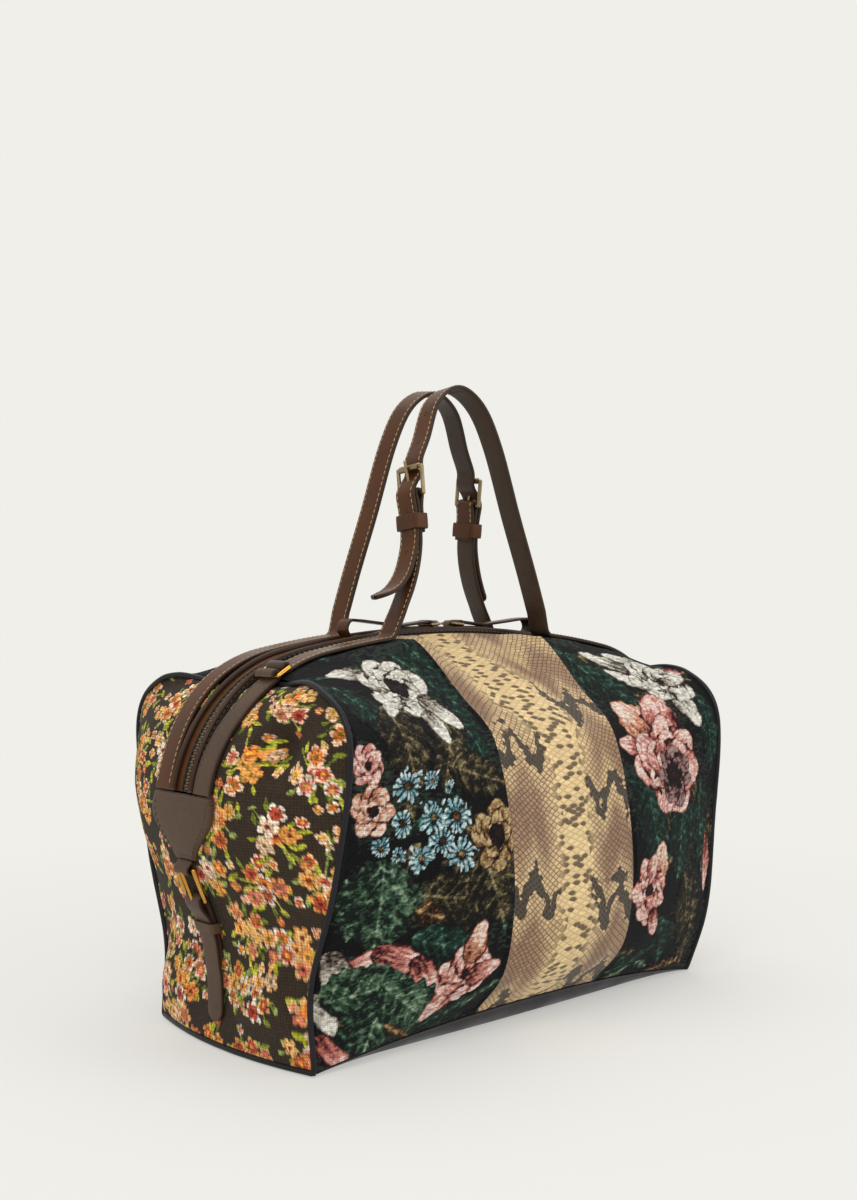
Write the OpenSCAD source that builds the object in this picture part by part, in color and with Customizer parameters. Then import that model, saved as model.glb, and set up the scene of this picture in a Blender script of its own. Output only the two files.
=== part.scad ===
// Soft carpet bag with sewn panels, a full-length zip, two buckled strap handles and buckled end belts.
// Frame: X along the length, -Y front, +Y back, Z up, origin at the middle of the base on the floor.

/* [Body] */
// Length of the base between the two end seams
base_length = 402; // [362:1:442]
// Depth of the base at its corners
base_depth = 187; // [172:1:204]
// Height of the zip line at the middle
body_height = 291; // [280:1:305]
// Reach of each end beyond its seam at the fullest point
end_overhang = 42; // [34:1:50]
// Reach of each end beyond its seam at the floor
end_foot = 13; // [8:1:18]
// Radius of the zip line where it turns down over an end
shoulder_radius = 113; // [104:1:122]
// Radius of the zip line along the top
crown_radius = 800; // [650:10:1000]
// Depth across the piping at the left shoulders
shoulder_depth = 262; // [240:1:284]
// Depth across the piping at the right shoulders
right_shoulder = 250; // [240:1:284]
// Height of the fullest point of the piping
shoulder_height = 222; // [210:1:232]
// Depth across the belly at mid length
belly_depth = 290; // [262:1:310]
// Height of the belly
belly_height = 128; // [110:1:146]
// Depth across the pinched left end
left_waist = 180; // [160:1:230]
// Depth across the fuller right end
right_waist = 226; // [180:1:240]
// Height of the pinch above the floor
waist_height = 58; // [45:1:75]
// Sag of the roof between the handle feet
roof_drop = 18; // [0:1:26]
// Rise of the base seam at mid length
base_rise = 10; // [2:1:16]
// Depth of the hollow in the left end behind the front shoulder
end_dent = 24; // [0:1:32]
// Thickness of the cloth panels with their backing
panel_thickness = 2.4; // [1.6:0.1:3.2]
// Thickness of the leather base
base_thickness = 2.6; // [1.8:0.1:3.6]
// Diameter of the piping cord
piping_diameter = 4.2; // [3.4:0.1:5]
// Thickness of the inner base board
board_thickness = 2.5; // [1.5:0.1:4]

/* [Centre band] */
// Reach of the centre band to the left of the middle at the belly
band_left = 62; // [40:1:80]
// Reach of the centre band to the left of the middle at the zip
band_left_top = 76; // [50:1:90]
// Reach of the centre band to the right of the middle
band_right = 68; // [40:1:90]

/* [Zip] */
// Width of each leather facing beside the zip
facing_width = 9.5; // [7:0.5:12]
// Width of the zip chain between the facings
chain_width = 6; // [4:0.5:8]
// Thickness of the facings
facing_thickness = 3; // [2:0.1:4]
// Rise of the facings' rolled outer edge
facing_lip = 4; // [2:0.5:4.5]
// Length of a zip slider
slider_length = 15; // [11:0.5:20]
// Gap between the two closed sliders
slider_gap = 3; // [1:0.5:8]
// Length of a leather pull loop
pull_length = 86; // [60:1:100]
// Height of the open end of a pull loop
pull_height = 15; // [12:0.5:20]
// Width of the pull leather
pull_width = 13; // [9:0.5:15]
// Thickness of the pull leather
pull_leather = 2; // [1.4:0.1:2.6]

/* [Straps] */
// Width of the handle and end straps
strap_width = 20; // [16:0.5:24]
// Thickness of the handle and end straps
strap_thickness = 3; // [2.2:0.1:3.4]
// Distance between the front and the back strap
strap_spacing = 67; // [60:1:76]
// Gap between a strap and the zip facing at the end tab
strap_clearance = 1.1; // [0.5:0.1:4]
// Reach of the end tab beyond the straps on each side
tab_margin = 1; // [0:0.5:4]
// Width of the end tab at its foot
tab_foot = 22; // [18:1:30]
// Height of the top of the end tab
tab_top = 183; // [176:1:192]
// Length of the end tab
tab_length = 46; // [36:1:50]
// Thickness of the end tab
tab_thickness = 4; // [3:0.1:5]

/* [Handles] */
// Rise of a handle above its turning line
handle_rise = 180; // [150:1:200]
// Lean of each handle towards the other
handle_lean = 6; // [2:0.5:6.5]
// Distance of the plain leg from the middle
long_foot = 77; // [70:1:88]
// Distance of the buckled leg from the middle
buckle_foot = 76; // [68:1:84]
// Lean of the buckled leg towards the middle between its foot and its buckle
leg_in = 23; // [16:1:28]
// Height of the turning line above the zip line
foot_height = 17; // [16:0.5:22]
// Height of the buckle's pivot bar above the turning line
buckle_height = 91; // [84:1:100]
// Length of the buckle between its bars
buckle_length = 21; // [20:0.5:26]
// Diameter of the buckle wire
wire = 3.2; // [2.4:0.1:3.8]
// Length of the strap's folded, sewn end below the pivot bar
fold_length = 30; // [26:1:36]
// Height of the keeper
keeper_height = 12; // [8:0.5:14]
// Thickness of the keeper leather
keeper_wall = 1.8; // [1.2:0.1:2.4]

/* [End belts] */
// Width of the end belt
belt_width = 18; // [14:0.5:22]
// Thickness of the end belt
belt_thickness = 2.4; // [1.8:0.1:2.8]
// Height of the sewn start of the belt above the floor
belt_start = 66; // [58:1:74]
// Height of the free tip of the belt above the floor
belt_tip = 20; // [14:1:34]
// Drop of the end buckle between its bars
end_buckle_length = 21; // [18:0.5:24]

/* [Hidden] */
$fn = 40;
// clearance between pieces that lie on each other
gap = 0.4;
eps = 0.01;
front_rows = 18;
side_columns = 9;
band_columns = 8;
half_base = base_length / 2;
base_half = base_depth / 2;
reach = half_base + end_overhang;
base_z = base_thickness + gap;
foot_z = piping_diameter / 2 + gap;
pr = piping_diameter / 2;
seam = pr + 0.9;
hw = strap_width / 2;
ht = strap_thickness / 2;
facing_out = chain_width / 2 + gap + facing_width;
zip_half = facing_out + panel_thickness / 2 + gap;
tab_y = facing_out + strap_clearance + hw;
tab_width = 2 * (tab_y + hw + tab_margin);
strap_out = strap_spacing / 2 + hw + 3.5;
// centre of the shoulder arc, tangent to the crown arc
xs = reach - shoulder_radius;
zs = body_height - crown_radius + sqrt(pow(crown_radius - shoulder_radius, 2) - xs * xs);
crown_angle = asin(xs / (crown_radius - shoulder_radius));
crown_x = crown_radius * sin(crown_angle);
crown_centre = body_height - crown_radius;
seam_top = half_base - 10;
seam_top_z = zip_z(seam_top);
tab_phi = asin((tab_top - zs) / shoulder_radius);
hinge_z = body_height + foot_height;
hinge_y = strap_spacing / 2;
roller = wire / 2 + 1;

// helpers
function lerp(a, b, t) = a + (b - a) * t;
function unit(v) = v / max(norm(v), 1e-9);
function smooth(t) = let (c = max(0, min(1, t))) c * c * (3 - 2 * c);
function rev(l) = [for (i = [len(l) - 1:-1:0]) l[i]];
function cubic(a, b, c, d, t) = 0.5 * (2 * b + (c - a) * t + (2 * a - 5 * b + 4 * c - d) * t * t
    + (3 * b - a - 3 * c + d) * t * t * t);
function spline(p, s) = let (n = len(p) - 1, i = max(0, min(floor(s), n - 1)))
    cubic(i > 0 ? p[i - 1] : 2 * p[0] - p[1], p[i], p[i + 1],
        i < n - 1 ? p[i + 2] : 2 * p[n] - p[n - 1], s - i);
function curve(p, k) = [for (i = [0:k * (len(p) - 1)]) spline(p, i / k)];

// zip line: height over x, and reach of the end's middle over z
function zip_z(x) = abs(x) <= crown_x
    ? crown_centre + sqrt(crown_radius * crown_radius - x * x)
    : zs + sqrt(shoulder_radius * shoulder_radius - pow(abs(x) - xs, 2));
function end_x(z) = z >= zs
    ? xs + sqrt(max(0, shoulder_radius * shoulder_radius - pow(z - zs, 2)))
    : lerp(half_base + end_foot, reach, smooth((z - waist_height) / (zs - waist_height)));

// section of the front panel at x, as [distance from the zip plane, height]
function waist(x) = (x < 0 ? left_waist : right_waist) / 2;
function keys(x) = let (
    m = 1 - pow(min(1, abs(x) / half_base), 2.4),
    z = zip_z(min(abs(x), seam_top)),
    w = waist(x),
    d = (x < 0 ? shoulder_depth : right_shoulder) / 2) [
    [zip_half, z],
    [strap_out, z - roof_drop * (1 - smooth((abs(x) - 35) / 35))],
    [lerp(d - 32, belly_depth / 2 - 55, m), lerp(seam_top_z - 4, body_height - 44, m)],
    [lerp(d, belly_depth / 2 - 19, m), lerp(shoulder_height, shoulder_height - 12, m)],
    [lerp(lerp(w, d, 0.6), belly_depth / 2, m), belly_height],
    [lerp(w, belly_depth / 2 - 7, m), waist_height],
    [lerp(base_half, base_half + 11, m), lerp(base_z, base_z + base_rise, m)]];
function seam_x(s) = lerp(seam_top, half_base, smooth((s - 0.8) / 1.4));
function front_x(i, s) = let (e = seam_x(s) - seam, n = side_columns, b = band_columns)
    i <= n ? lerp(-e, band_edge(s), i / n)
    : i <= n + b ? lerp(band_edge(s), band_right, (i - n) / b)
    : lerp(band_right, e, (i - n - b) / n);
function band_edge(s) = -lerp(band_left_top, band_left, smooth(s / 2.6));
function front_point(i, s) = let (x = front_x(i, s), k = keys(x), p = spline(k, s))
    [x, -p[0], min(p[1], k[0][1])];
function front_grid() = [for (i = [0:2 * side_columns + band_columns])
    [for (j = [0:front_rows]) front_point(i, 6 * j / front_rows)]];

// sheets: a grid of points thickened along the cross product of its two directions
function step(g, i, j) = let (n = len(g) - 1, m = len(g[0]) - 1)
    unit(cross(g[min(i + 1, n)][j] - g[max(i - 1, 0)][j], g[i][min(j + 1, m)] - g[i][max(j - 1, 0)]));
function inner(g, t) = [for (i = [0:len(g) - 1]) [for (j = [0:len(g[0]) - 1]) g[i][j] + t * step(g, i, j)]];
function part_of(g, a, b) = [for (i = [a:b]) g[i]];
function quad(a, b, c, d) = [[a, b, c], [a, c, d]];
module shell(g, h) {
    n = len(g);
    m = len(g[0]);
    k = n * m;
    polyhedron(
        points = [for (l = [g, h]) for (r = l) for (p = r) p],
        faces = [for (f = [
            for (i = [0:n - 2]) for (j = [0:m - 2]) let (a = i * m + j) each [
                quad(a, a + m, a + m + 1, a + 1), quad(k + a, k + a + 1, k + a + m + 1, k + a + m)],
            for (i = [0:n - 2]) let (a = i * m, b = i * m + m - 1) each [
                quad(a, k + a, k + a + m, a + m), quad(b, b + m, k + b + m, k + b)],
            for (j = [0:m - 2]) let (a = j, b = (n - 1) * m + j) each [
                quad(a, a + 1, k + a + 1, k + a), quad(b, k + b, k + b + 1, b + 1)]
        ]) each f]);
}
module sheet(g, t) {
    shell(g, inner(g, t));
}
module tube(p, r, sides = 8) {
    n = len(p);
    ring = [for (i = [0:n - 1]) let (
        t = unit(p[min(i + 1, n - 1)] - p[max(i - 1, 0)]),
        a = unit([1, 0, 0] - t * t[0]),
        b = cross(t, a)) for (k = [0:sides - 1])
        p[i] + r * (cos(360 * k / sides) * a + sin(360 * k / sides) * b)];
    polyhedron(points = ring, faces = concat(
        [[for (k = [0:sides - 1]) k], [for (k = [sides - 1:-1:0]) (n - 1) * sides + k]],
        [for (i = [0:n - 2]) for (k = [0:sides - 1]) for (f = quad(i * sides + k, (i + 1) * sides + k,
            (i + 1) * sides + (k + 1) % sides, i * sides + (k + 1) % sides)) f]));
}

// flat strips: outline of a strip of thickness t along a path, drawn in X and Z and drawn out along Y
function across(p, i) = let (d = unit(p[min(i + 1, len(p) - 1)] - p[max(i - 1, 0)])) [-d[1], d[0]];
function strip(p, t) = concat(
    [for (i = [0:len(p) - 1]) p[i] + t / 2 * across(p, i)],
    [for (i = [len(p) - 1:-1:0]) p[i] - t / 2 * across(p, i)]);
module along_y(w) {
    rotate([90, 0, 0]) translate([0, 0, -w / 2]) linear_extrude(w) children();
}
module bar_y(x, z, r, w) {
    translate([x, w / 2, z]) rotate([90, 0, 0]) cylinder(r = r, h = w);
}
// wire frame with two bars along Y at [0, 0] and [0, l], and two side bars
module wire_frame(l, w, r) {
    for (z = [0, l]) bar_y(0, z, r, w);
    for (y = [-w / 2, w / 2]) {
        translate([0, y, 0]) cylinder(r = r, h = l);
        for (z = [0, l]) translate([0, y, z]) sphere(r = r);
    }
}
module turned() {
    rotate([0, 0, 180]) children();
}
module both_ways(back) {
    rotate([0, 0, back ? 180 : 0]) children();
}

// panels
module front_part(a, b) {
    g = front_grid();
    h = inner(g, panel_thickness);
    shell(part_of(g, a, b), part_of(h, a, b));
}
c1 = side_columns;
c2 = side_columns + band_columns;
c3 = 2 * side_columns + band_columns;
module front_panel_left() {
    color([0.1, 0.12, 0.1]) front_part(0, c1);
}
module front_band() {
    color([0.8, 0.7, 0.5]) front_part(c1, c2);
}
module front_panel_right() {
    color([0.1, 0.12, 0.1]) front_part(c2, c3);
}
module back_panel_left() {
    color([0.1, 0.12, 0.1]) mirror([0, 1, 0]) front_part(0, c1);
}
module back_band() {
    color([0.8, 0.7, 0.5]) mirror([0, 1, 0]) front_part(c1, c2);
}
module back_panel_right() {
    color([0.1, 0.12, 0.1]) mirror([0, 1, 0]) front_part(c2, c3);
}

// end panel: a sheet between the piped seam and the slot of the zip, drawn on the left
function foot_x(y) = half_base + end_foot * (1 - pow(min(1, abs(y) / base_half), 2));
function seam_point(side, s) = let (k = keys(side * half_base), p = spline(k, s)) [p[0], min(p[1], k[0][1])];
// the piping sinks into the seam where the straps pass over it
function sink(s) = (pr + 0.7) * (1 - smooth((s - 1) / 0.6));
slot_foot = tab_top - 12;
end_a = 18;
end_b = 5;
end_c = 8;
function end_outer(side, k) = k <= end_a
    ? let (s = lerp(1, 6, k / end_a), q = end_in(side, s))
        [seam_x(s), -q[0], max(q[1], foot_z + seam)]
    : let (y = -lerp(base_half - seam, 0, (k - end_a) / end_b)) [foot_x(y), y, foot_z + seam];
function end_in(side, s) = let (
    a = seam_point(side, max(s - 0.05, 0)), b = seam_point(side, min(s + 0.05, 6)), d = unit(b - a))
    seam_point(side, s) + (seam + sink(s)) * [d[1], -d[0]];
function end_inner(k) = k <= end_a
    ? [0, -zip_half, lerp(seam_top_z - seam - sink(1), slot_foot, k / end_a)]
    : [0, -lerp(zip_half, 0, (k - end_a) / end_b), slot_foot];
function dent(y, z) = end_dent * exp(-pow((y + 82) / 17, 2) - pow((z - 226) / 24, 2));
function end_point(side, k, c, hollow) = let (
    o = end_outer(side, k), i = end_inner(k), b = c / end_c,
    y = lerp(o[1], i[1], b), z = lerp(o[2], i[2], b),
    x = lerp(o[0], end_x(z), 1 - pow(1 - b, 2)) - hollow * dent(y, z) * sin(180 * min(1, b * 1.6)))
    [-x, y, z];
function end_half(side, hollow) = [for (k = [0:end_a + end_b]) [for (c = [0:end_c]) end_point(side, k, c, hollow)]];
function flip_y(g) = [for (r = rev(g)) [for (p = r) [p[0], -p[1], p[2]]]];
function end_grid(side) = let (f = end_half(side, side < 0 ? 1 : 0), b = flip_y(end_half(side, 0)))
    concat(f, [for (i = [1:len(b) - 1]) b[i]]);
module end_panel(side) {
    sheet(end_grid(side), panel_thickness);
}
module end_panel_left() {
    color([0.2, 0.16, 0.12]) end_panel(-1);
}
module end_panel_right() {
    color([0.2, 0.16, 0.12]) mirror([1, 0, 0]) end_panel(1);
}

// piping: from the zip along the front seam, round the foot of the end and up the back seam
function piping_half(side) = concat(
    [for (s = concat([0.04, 0.35, 0.7], [for (k = [0:end_a - 1]) lerp(1, 6, k / end_a)])) let (p = seam_point(side, s))
        [-seam_x(s), -p[0], p[1] - sink(s)]],
    [[-half_base, -base_half + 0.4, foot_z + 0.8], [-foot_x(base_half - 3), -base_half + 3, foot_z]],
    [for (k = [1:4]) let (y = -lerp(base_half - 3, 0, k / 4)) [-foot_x(y), y, foot_z]]);
module piping(side) {
    h = piping_half(side);
    tube(concat(h, [for (i = [len(h) - 2:-1:0]) [h[i][0], -h[i][1], h[i][2]]]), pr);
}
module piping_left() {
    color([0.05, 0.05, 0.05]) piping(-1);
}
module piping_right() {
    color([0.05, 0.05, 0.05]) mirror([1, 0, 0]) piping(1);
}

// base: flat in the middle, its long edges curl up to the panels
base_columns = 18;
curl = 18;
function base_point(i, j) = let (
    q = [-1, -0.94, -0.88, -0.8, -0.4, 0, 0.4, 0.8, 0.88, 0.94, 1][j],
    u = 2 * i / base_columns - 1,
    x0 = u * half_base,
    k = keys(x0)[6],
    y = q * k[0],
    e = (abs(q) > 0.85 ? half_base : foot_x(y)) - seam,
    z = (k[1] - gap - base_thickness) * pow(max(0, (abs(y) - k[0] + curl) / curl), 2)) [u * e, y, z];
module base_panel() {
    color([0.13, 0.12, 0.14]) sheet([for (i = [0:base_columns]) [for (j = [0:10]) base_point(i, j)]],
        base_thickness);
}
module base_board() {
    w = base_depth - 2 * curl - 8;
    l = base_length - 2 * seam - 10;
    r = 14;
    color([0.5, 0.4, 0.3]) translate([0, 0, base_thickness + gap / 4]) linear_extrude(board_thickness) {
        square([l - 2 * r, w], center = true);
        square([l, w - 2 * r], center = true);
        for (x = [-1, 1]) for (y = [-1, 1]) translate([x * (l / 2 - r), y * (w / 2 - r)]) circle(r);
    }
}

// zip: a chain and two facings carried along the crown and shoulder arcs
function zip_half_path(d) = concat(
    [for (k = [0:20]) let (a = lerp(tab_phi + 0.3, 90 - crown_angle, k / 20))
        [-xs - (shoulder_radius + d) * cos(a), zs + (shoulder_radius + d) * sin(a)]],
    [for (k = [1:12]) let (a = lerp(crown_angle, 0, k / 12))
        [-(crown_radius + d) * sin(a), crown_centre + (crown_radius + d) * cos(a)]]);
function zip_path(d) = let (h = zip_half_path(d)) concat(h, [for (i = [len(h) - 2:-1:0]) [-h[i][0], h[i][1]]]);
module zip_strip(y0, y1, d0, d1) {
    translate([0, (y0 + y1) / 2, 0]) along_y(y1 - y0) polygon(concat(zip_path(d0), rev(zip_path(d1))));
}
module zip_chain() {
    color([0.5, 0.4, 0.2]) zip_strip(-chain_width / 2, chain_width / 2, -1.6, 0.7);
}
module zip_facing() {
    zip_strip(-facing_out, -chain_width / 2 - gap, 1 - facing_thickness, 1);
    zip_strip(-facing_out, -facing_out + 0.45 * facing_width, 0, 1 + facing_lip);
}
module zip_facing_front() {
    color([0.35, 0.22, 0.12]) zip_facing();
}
module zip_facing_back() {
    color([0.35, 0.22, 0.12]) mirror([0, 1, 0]) zip_facing();
}

// end tab: a shield that covers the ends of the zip and of the straps
tab_rows = 8;
function tab_half(t) = lerp(tab_width / 2 * (1 + 0.06 * sin(180 * min(1, t * 1.7))), tab_foot / 2,
    pow(smooth(t * 0.98), 2.2));
function tab_point(i, j) = let (
    t = i / tab_rows, z = tab_top - gap - tab_length * t, q = j / 4 - 1, y = q * tab_half(t))
    [-(end_x(z) + gap + 0.5 - 1.2 * pow(y / (tab_width / 2), 2)), y, z];
module end_tab() {
    sheet([for (i = [tab_rows:-1:0]) [for (j = [0:8]) tab_point(i, j)]], tab_thickness);
}
module end_tab_left() {
    color([0.36, 0.3, 0.26]) end_tab();
}
module end_tab_right() {
    color([0.36, 0.3, 0.26]) turned() end_tab();
}

// strap runs on the bag, drawn on the left with the underside on the zip line's arcs
lift = gap + 0.2;
run_r = shoulder_radius + lift;
function shoulder_pt(phi) = [-xs - run_r * cos(phi), zs + run_r * sin(phi)];
function crown_pt(theta) = [-(crown_radius + lift) * sin(theta), crown_centre + (crown_radius + lift) * cos(theta)];
function run_y(phi) = lerp(tab_y, hinge_y, smooth((phi - tab_phi) / (58 - tab_phi)));
function foot_bend(x, beta, r) = let (
    a = asin((x + 8) / crown_radius),
    p = crown_pt(a),
    q = [-x + ht * sin(beta), hinge_z - ht * cos(beta)],
    t = (p[1] + tan(a) * (q[0] - p[0]) - q[1]) / (sin(beta) - tan(a) * cos(beta)),
    c = q + t * [cos(beta), sin(beta)],
    l = r * tan((beta - a) / 2),
    s = c - l * [cos(a), sin(a)],
    o = s + r * [-sin(a), cos(a)],
    e = q - (hw + 1 + ht * cos(beta)) / sin(beta) * [cos(beta), sin(beta)])
    [s, a, o, e];
function foot_path(x, beta, r) = let (f = foot_bend(x, beta, r)) concat(
    [for (k = [0:7]) f[2] + r * [sin(lerp(f[1], beta, k / 7)), -cos(lerp(f[1], beta, k / 7))]], [f[3]]);
function crown_run(theta, x, beta, r) = let (
    f = foot_bend(x, beta, r), b = asin(-f[0][0] / (crown_radius + lift)))
    [for (k = [0:5]) crown_pt(lerp(theta, b, k / 6))];
function run_grid(p, y, side) = [for (i = [0:len(p) - 1])
    [for (s = [-1, 1]) [-side * p[i][0], y[i] - side * s * hw, p[i][1]]]];
bend_r = 9;
long_beta = 77;
buckle_beta = 62;
module long_run() {
    n = 11;
    arc = [for (k = [0:n]) lerp(tab_phi + 0.2, 90 - crown_angle, k / n)];
    p = concat([for (a = arc) shoulder_pt(a)],
        [for (q = crown_run(crown_angle, long_foot, long_beta, bend_r)) if (q != crown_pt(crown_angle)) q],
        foot_path(long_foot, long_beta, bend_r));
    y = [for (i = [0:len(p) - 1]) i <= n ? -run_y(arc[i]) : -hinge_y];
    sheet(run_grid(p, y, 1), strap_thickness);
}
module long_run_front() {
    color([0.38, 0.26, 0.16]) long_run();
}
module long_run_back() {
    color([0.38, 0.26, 0.16]) turned() long_run();
}

// shoulder ring between the end strap and the buckle strap, with an eye of leather on each bar
ring_phi = 59;
ring_bar = 1.7;
ring_length = 2 * (ring_bar + gap + 2.4) + 0.8;
eye_lift = ring_bar + gap + 2.4 + 0.2;
eye_turn = ring_length / 2 / shoulder_radius * 180 / PI;
module at_shoulder(phi, d) {
    translate([-xs - (shoulder_radius + d) * cos(phi), -hinge_y, zs + (shoulder_radius + d) * sin(phi)])
        rotate([0, phi, 0]) children();
}
module eye(w) {
    rotate([90, 0, 0]) translate([0, 0, -w / 2]) linear_extrude(w) difference() {
        circle(ring_bar + gap + 2.4);
        circle(ring_bar + gap);
    }
}
module end_strap() {
    n = 9;
    arc = [for (k = [0:n]) lerp(tab_phi + 0.2, ring_phi - eye_turn, k / n)];
    p = [for (a = arc) shoulder_pt(a)];
    difference() {
        union() {
            sheet(run_grid(p, [for (a = arc) -run_y(a)], -1), strap_thickness);
            at_shoulder(ring_phi - eye_turn, lift + eye_lift) eye(strap_width);
        }
        at_shoulder(ring_phi - eye_turn, lift + eye_lift) bar_y(0, 0, ring_bar + gap, strap_width + 1);
    }
}
module buckle_run() {
    n = 4;
    arc = [for (k = [0:n]) lerp(ring_phi + eye_turn, 90 - crown_angle, k / n)];
    p = concat([for (a = arc) shoulder_pt(a)],
        [for (q = crown_run(crown_angle, buckle_foot, buckle_beta, bend_r)) if (q != crown_pt(crown_angle)) q],
        foot_path(buckle_foot, buckle_beta, bend_r));
    r = shoulder_radius + lift + eye_lift;
    e = [-xs - r * cos(ring_phi + eye_turn), zs + r * sin(ring_phi + eye_turn)];
    translate([0, -hinge_y, 0]) along_y(strap_width) difference() {
        union() {
            polygon(concat(p, rev([for (i = [0:len(p) - 1]) p[i] + strap_thickness * across(p, i)])));
            translate(e) circle(ring_bar + gap + 2.4);
        }
        translate(e) circle(ring_bar + gap);
    }
}
module shoulder_ring() {
    l = 2 * (shoulder_radius + lift + eye_lift) * sin(eye_turn);
    h = (shoulder_radius + lift + eye_lift) * cos(eye_turn) - shoulder_radius;
    at_shoulder(ring_phi, h) translate([0, 0, -l / 2]) wire_frame(l, strap_width + 2 * gap + 2 * ring_bar, ring_bar);
}
module end_strap_front() {
    color([0.36, 0.3, 0.26]) end_strap();
}
module end_strap_back() {
    color([0.36, 0.3, 0.26]) turned() end_strap();
}
module buckle_run_front() {
    color([0.38, 0.26, 0.16]) buckle_run();
}
module buckle_run_back() {
    color([0.38, 0.26, 0.16]) turned() buckle_run();
}
module shoulder_ring_front() {
    color([0.8, 0.6, 0.25]) shoulder_ring();
}
module shoulder_ring_back() {
    color([0.8, 0.6, 0.25]) turned() shoulder_ring();
}

// end belt: sewn start, up behind the buckle's outer bar, over it and down as a free tail
tab_end = tab_top - gap - tab_length;
bar_in = wire / 2 + gap;
chape_r = bar_in + belt_thickness;
pivot_z = tab_end - gap - chape_r - 1.5;
pivot_x = -(end_x(pivot_z) + gap + chape_r + 1.5);
turn_r = bar_in + belt_thickness / 2;
function on_end(z, d) = [-(end_x(z) + d), z];
low = gap + 0.2 + belt_thickness / 2;
high = low + belt_thickness + gap + 0.2;
outer_z = pivot_z - end_buckle_length;
slope = atan2(end_x(outer_z + 3) - end_x(outer_z - 3), 6);
out_dir = [-cos(slope), -sin(slope)];
up_dir = [-sin(slope), cos(slope)];
outer = on_end(outer_z, low) + turn_r * out_dir;
frame_length = norm(outer - [pivot_x, pivot_z]);
frame_tilt = atan2(outer[0] - pivot_x, pivot_z - outer[1]);
keeper_z = lerp(belt_start, outer_z, 0.5);
belt_path = concat(
    curve([on_end(belt_start, low), on_end(lerp(belt_start, outer_z, 0.35), low),
        on_end(lerp(belt_start, outer_z, 0.7), low), on_end(outer_z, low)], 4),
    [for (k = [1:9]) outer + turn_r * (sin(k * 18) * up_dir - cos(k * 18) * out_dir)],
    curve([outer + turn_r * out_dir, outer + turn_r * out_dir - 5 * up_dir, on_end(keeper_z + 6, high + 0.4),
        on_end(keeper_z - 5, high), on_end(lerp(keeper_z, belt_start, 0.6), high), on_end(belt_start - 4, high),
        on_end(belt_start - 14, low + 1.4), on_end(lerp(belt_start - 14, belt_tip, 0.5), low + 0.6),
        on_end(belt_tip, low + 0.6)], 4));
module at_pivot() {
    translate([pivot_x, 0, pivot_z]) rotate([0, 180 - frame_tilt, 0]) children();
}
end_prong_r = 1.3;
end_prong_x = wire / 2 + end_prong_r + 0.15;
module end_belt() {
    difference() {
        along_y(belt_width) polygon(strip(belt_path, belt_thickness));
        at_pivot() translate([-turn_r - belt_thickness, -2.2, frame_length - turn_r - belt_thickness])
            cube([3 * turn_r + 3 * belt_thickness, 4.4, turn_r + belt_thickness + 6]);
        for (s = [-1, 1]) translate([-half_base - end_foot, s * belt_width / 2, belt_tip]) rotate([45, 0, 0])
            cube([60, 8, 8], center = true);
    }
}
tab_slope = atan2(end_x(tab_end + 3) - end_x(tab_end - 3), 6);
chape_top = on_end(tab_end, gap + 1.2) - 1.5 * gap * [-sin(tab_slope), cos(tab_slope)];
module end_chape() {
    difference() {
        along_y(belt_width - 1) difference() {
            union() {
                translate([pivot_x, pivot_z]) circle(chape_r);
                polygon([[pivot_x - chape_r * 0.9, pivot_z], [pivot_x + chape_r * 0.9, pivot_z], chape_top,
                    chape_top + (tab_thickness - 1) * [-cos(tab_slope), -sin(tab_slope)]]);
            }
            translate([pivot_x, pivot_z]) circle(bar_in);
        }
        translate([pivot_x, 0, pivot_z - chape_r]) cube([4 * chape_r, 4.4, 4 * chape_r - 0.6], center = true);
    }
}
module end_buckle() {
    at_pivot() wire_frame(frame_length, belt_width + 2 * gap + wire, wire / 2);
}
module end_prong() {
    difference() {
        union() {
            bar_y(pivot_x, pivot_z, bar_in + 1.6, 3.4);
            at_pivot() translate([end_prong_x, 0, 0]) {
                cylinder(r = end_prong_r, h = frame_length + 2.5);
                translate([0, 0, frame_length + 2.5]) sphere(end_prong_r);
            }
        }
        bar_y(pivot_x, pivot_z, wire / 2 + 0.15, 10);
    }
}
module end_keeper() {
    h = 8;
    t = keeper_wall;
    a = on_end(keeper_z, low - belt_thickness / 2 - 0.2);
    b = on_end(keeper_z, high + belt_thickness / 2 + gap);
    d = unit(on_end(keeper_z + 5, 0) - on_end(keeper_z - 5, 0));
    m = (a + b) / 2;
    w = norm(b - a);
    translate([m[0], 0, m[1]]) rotate([0, atan2(d[0], d[1]), 0]) translate([0, 0, -h / 2]) linear_extrude(h)
        difference() {
            translate([-t / 2, 0]) square([w + t, belt_width + 2 * gap + 2 * t], center = true);
            square([w, belt_width + 2 * gap], center = true);
            translate([w, 0]) square([w + 2 * eps, belt_width + 2 * gap], center = true);
        }
}
module end_chape_left() {
    color([0.36, 0.3, 0.26]) end_chape();
}
module end_chape_right() {
    color([0.36, 0.3, 0.26]) turned() end_chape();
}
module end_buckle_left() {
    color([0.8, 0.6, 0.25]) end_buckle();
}
module end_buckle_right() {
    color([0.8, 0.6, 0.25]) turned() end_buckle();
}
module end_prong_left() {
    color([0.8, 0.6, 0.25]) end_prong();
}
module end_prong_right() {
    color([0.8, 0.6, 0.25]) turned() end_prong();
}
module end_belt_left() {
    color([0.36, 0.3, 0.26]) end_belt();
}
module end_belt_right() {
    color([0.36, 0.3, 0.26]) turned() end_belt();
}
module end_keeper_left() {
    color([0.36, 0.3, 0.26]) end_keeper();
}
module end_keeper_right() {
    color([0.36, 0.3, 0.26]) turned() end_keeper();
}

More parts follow.
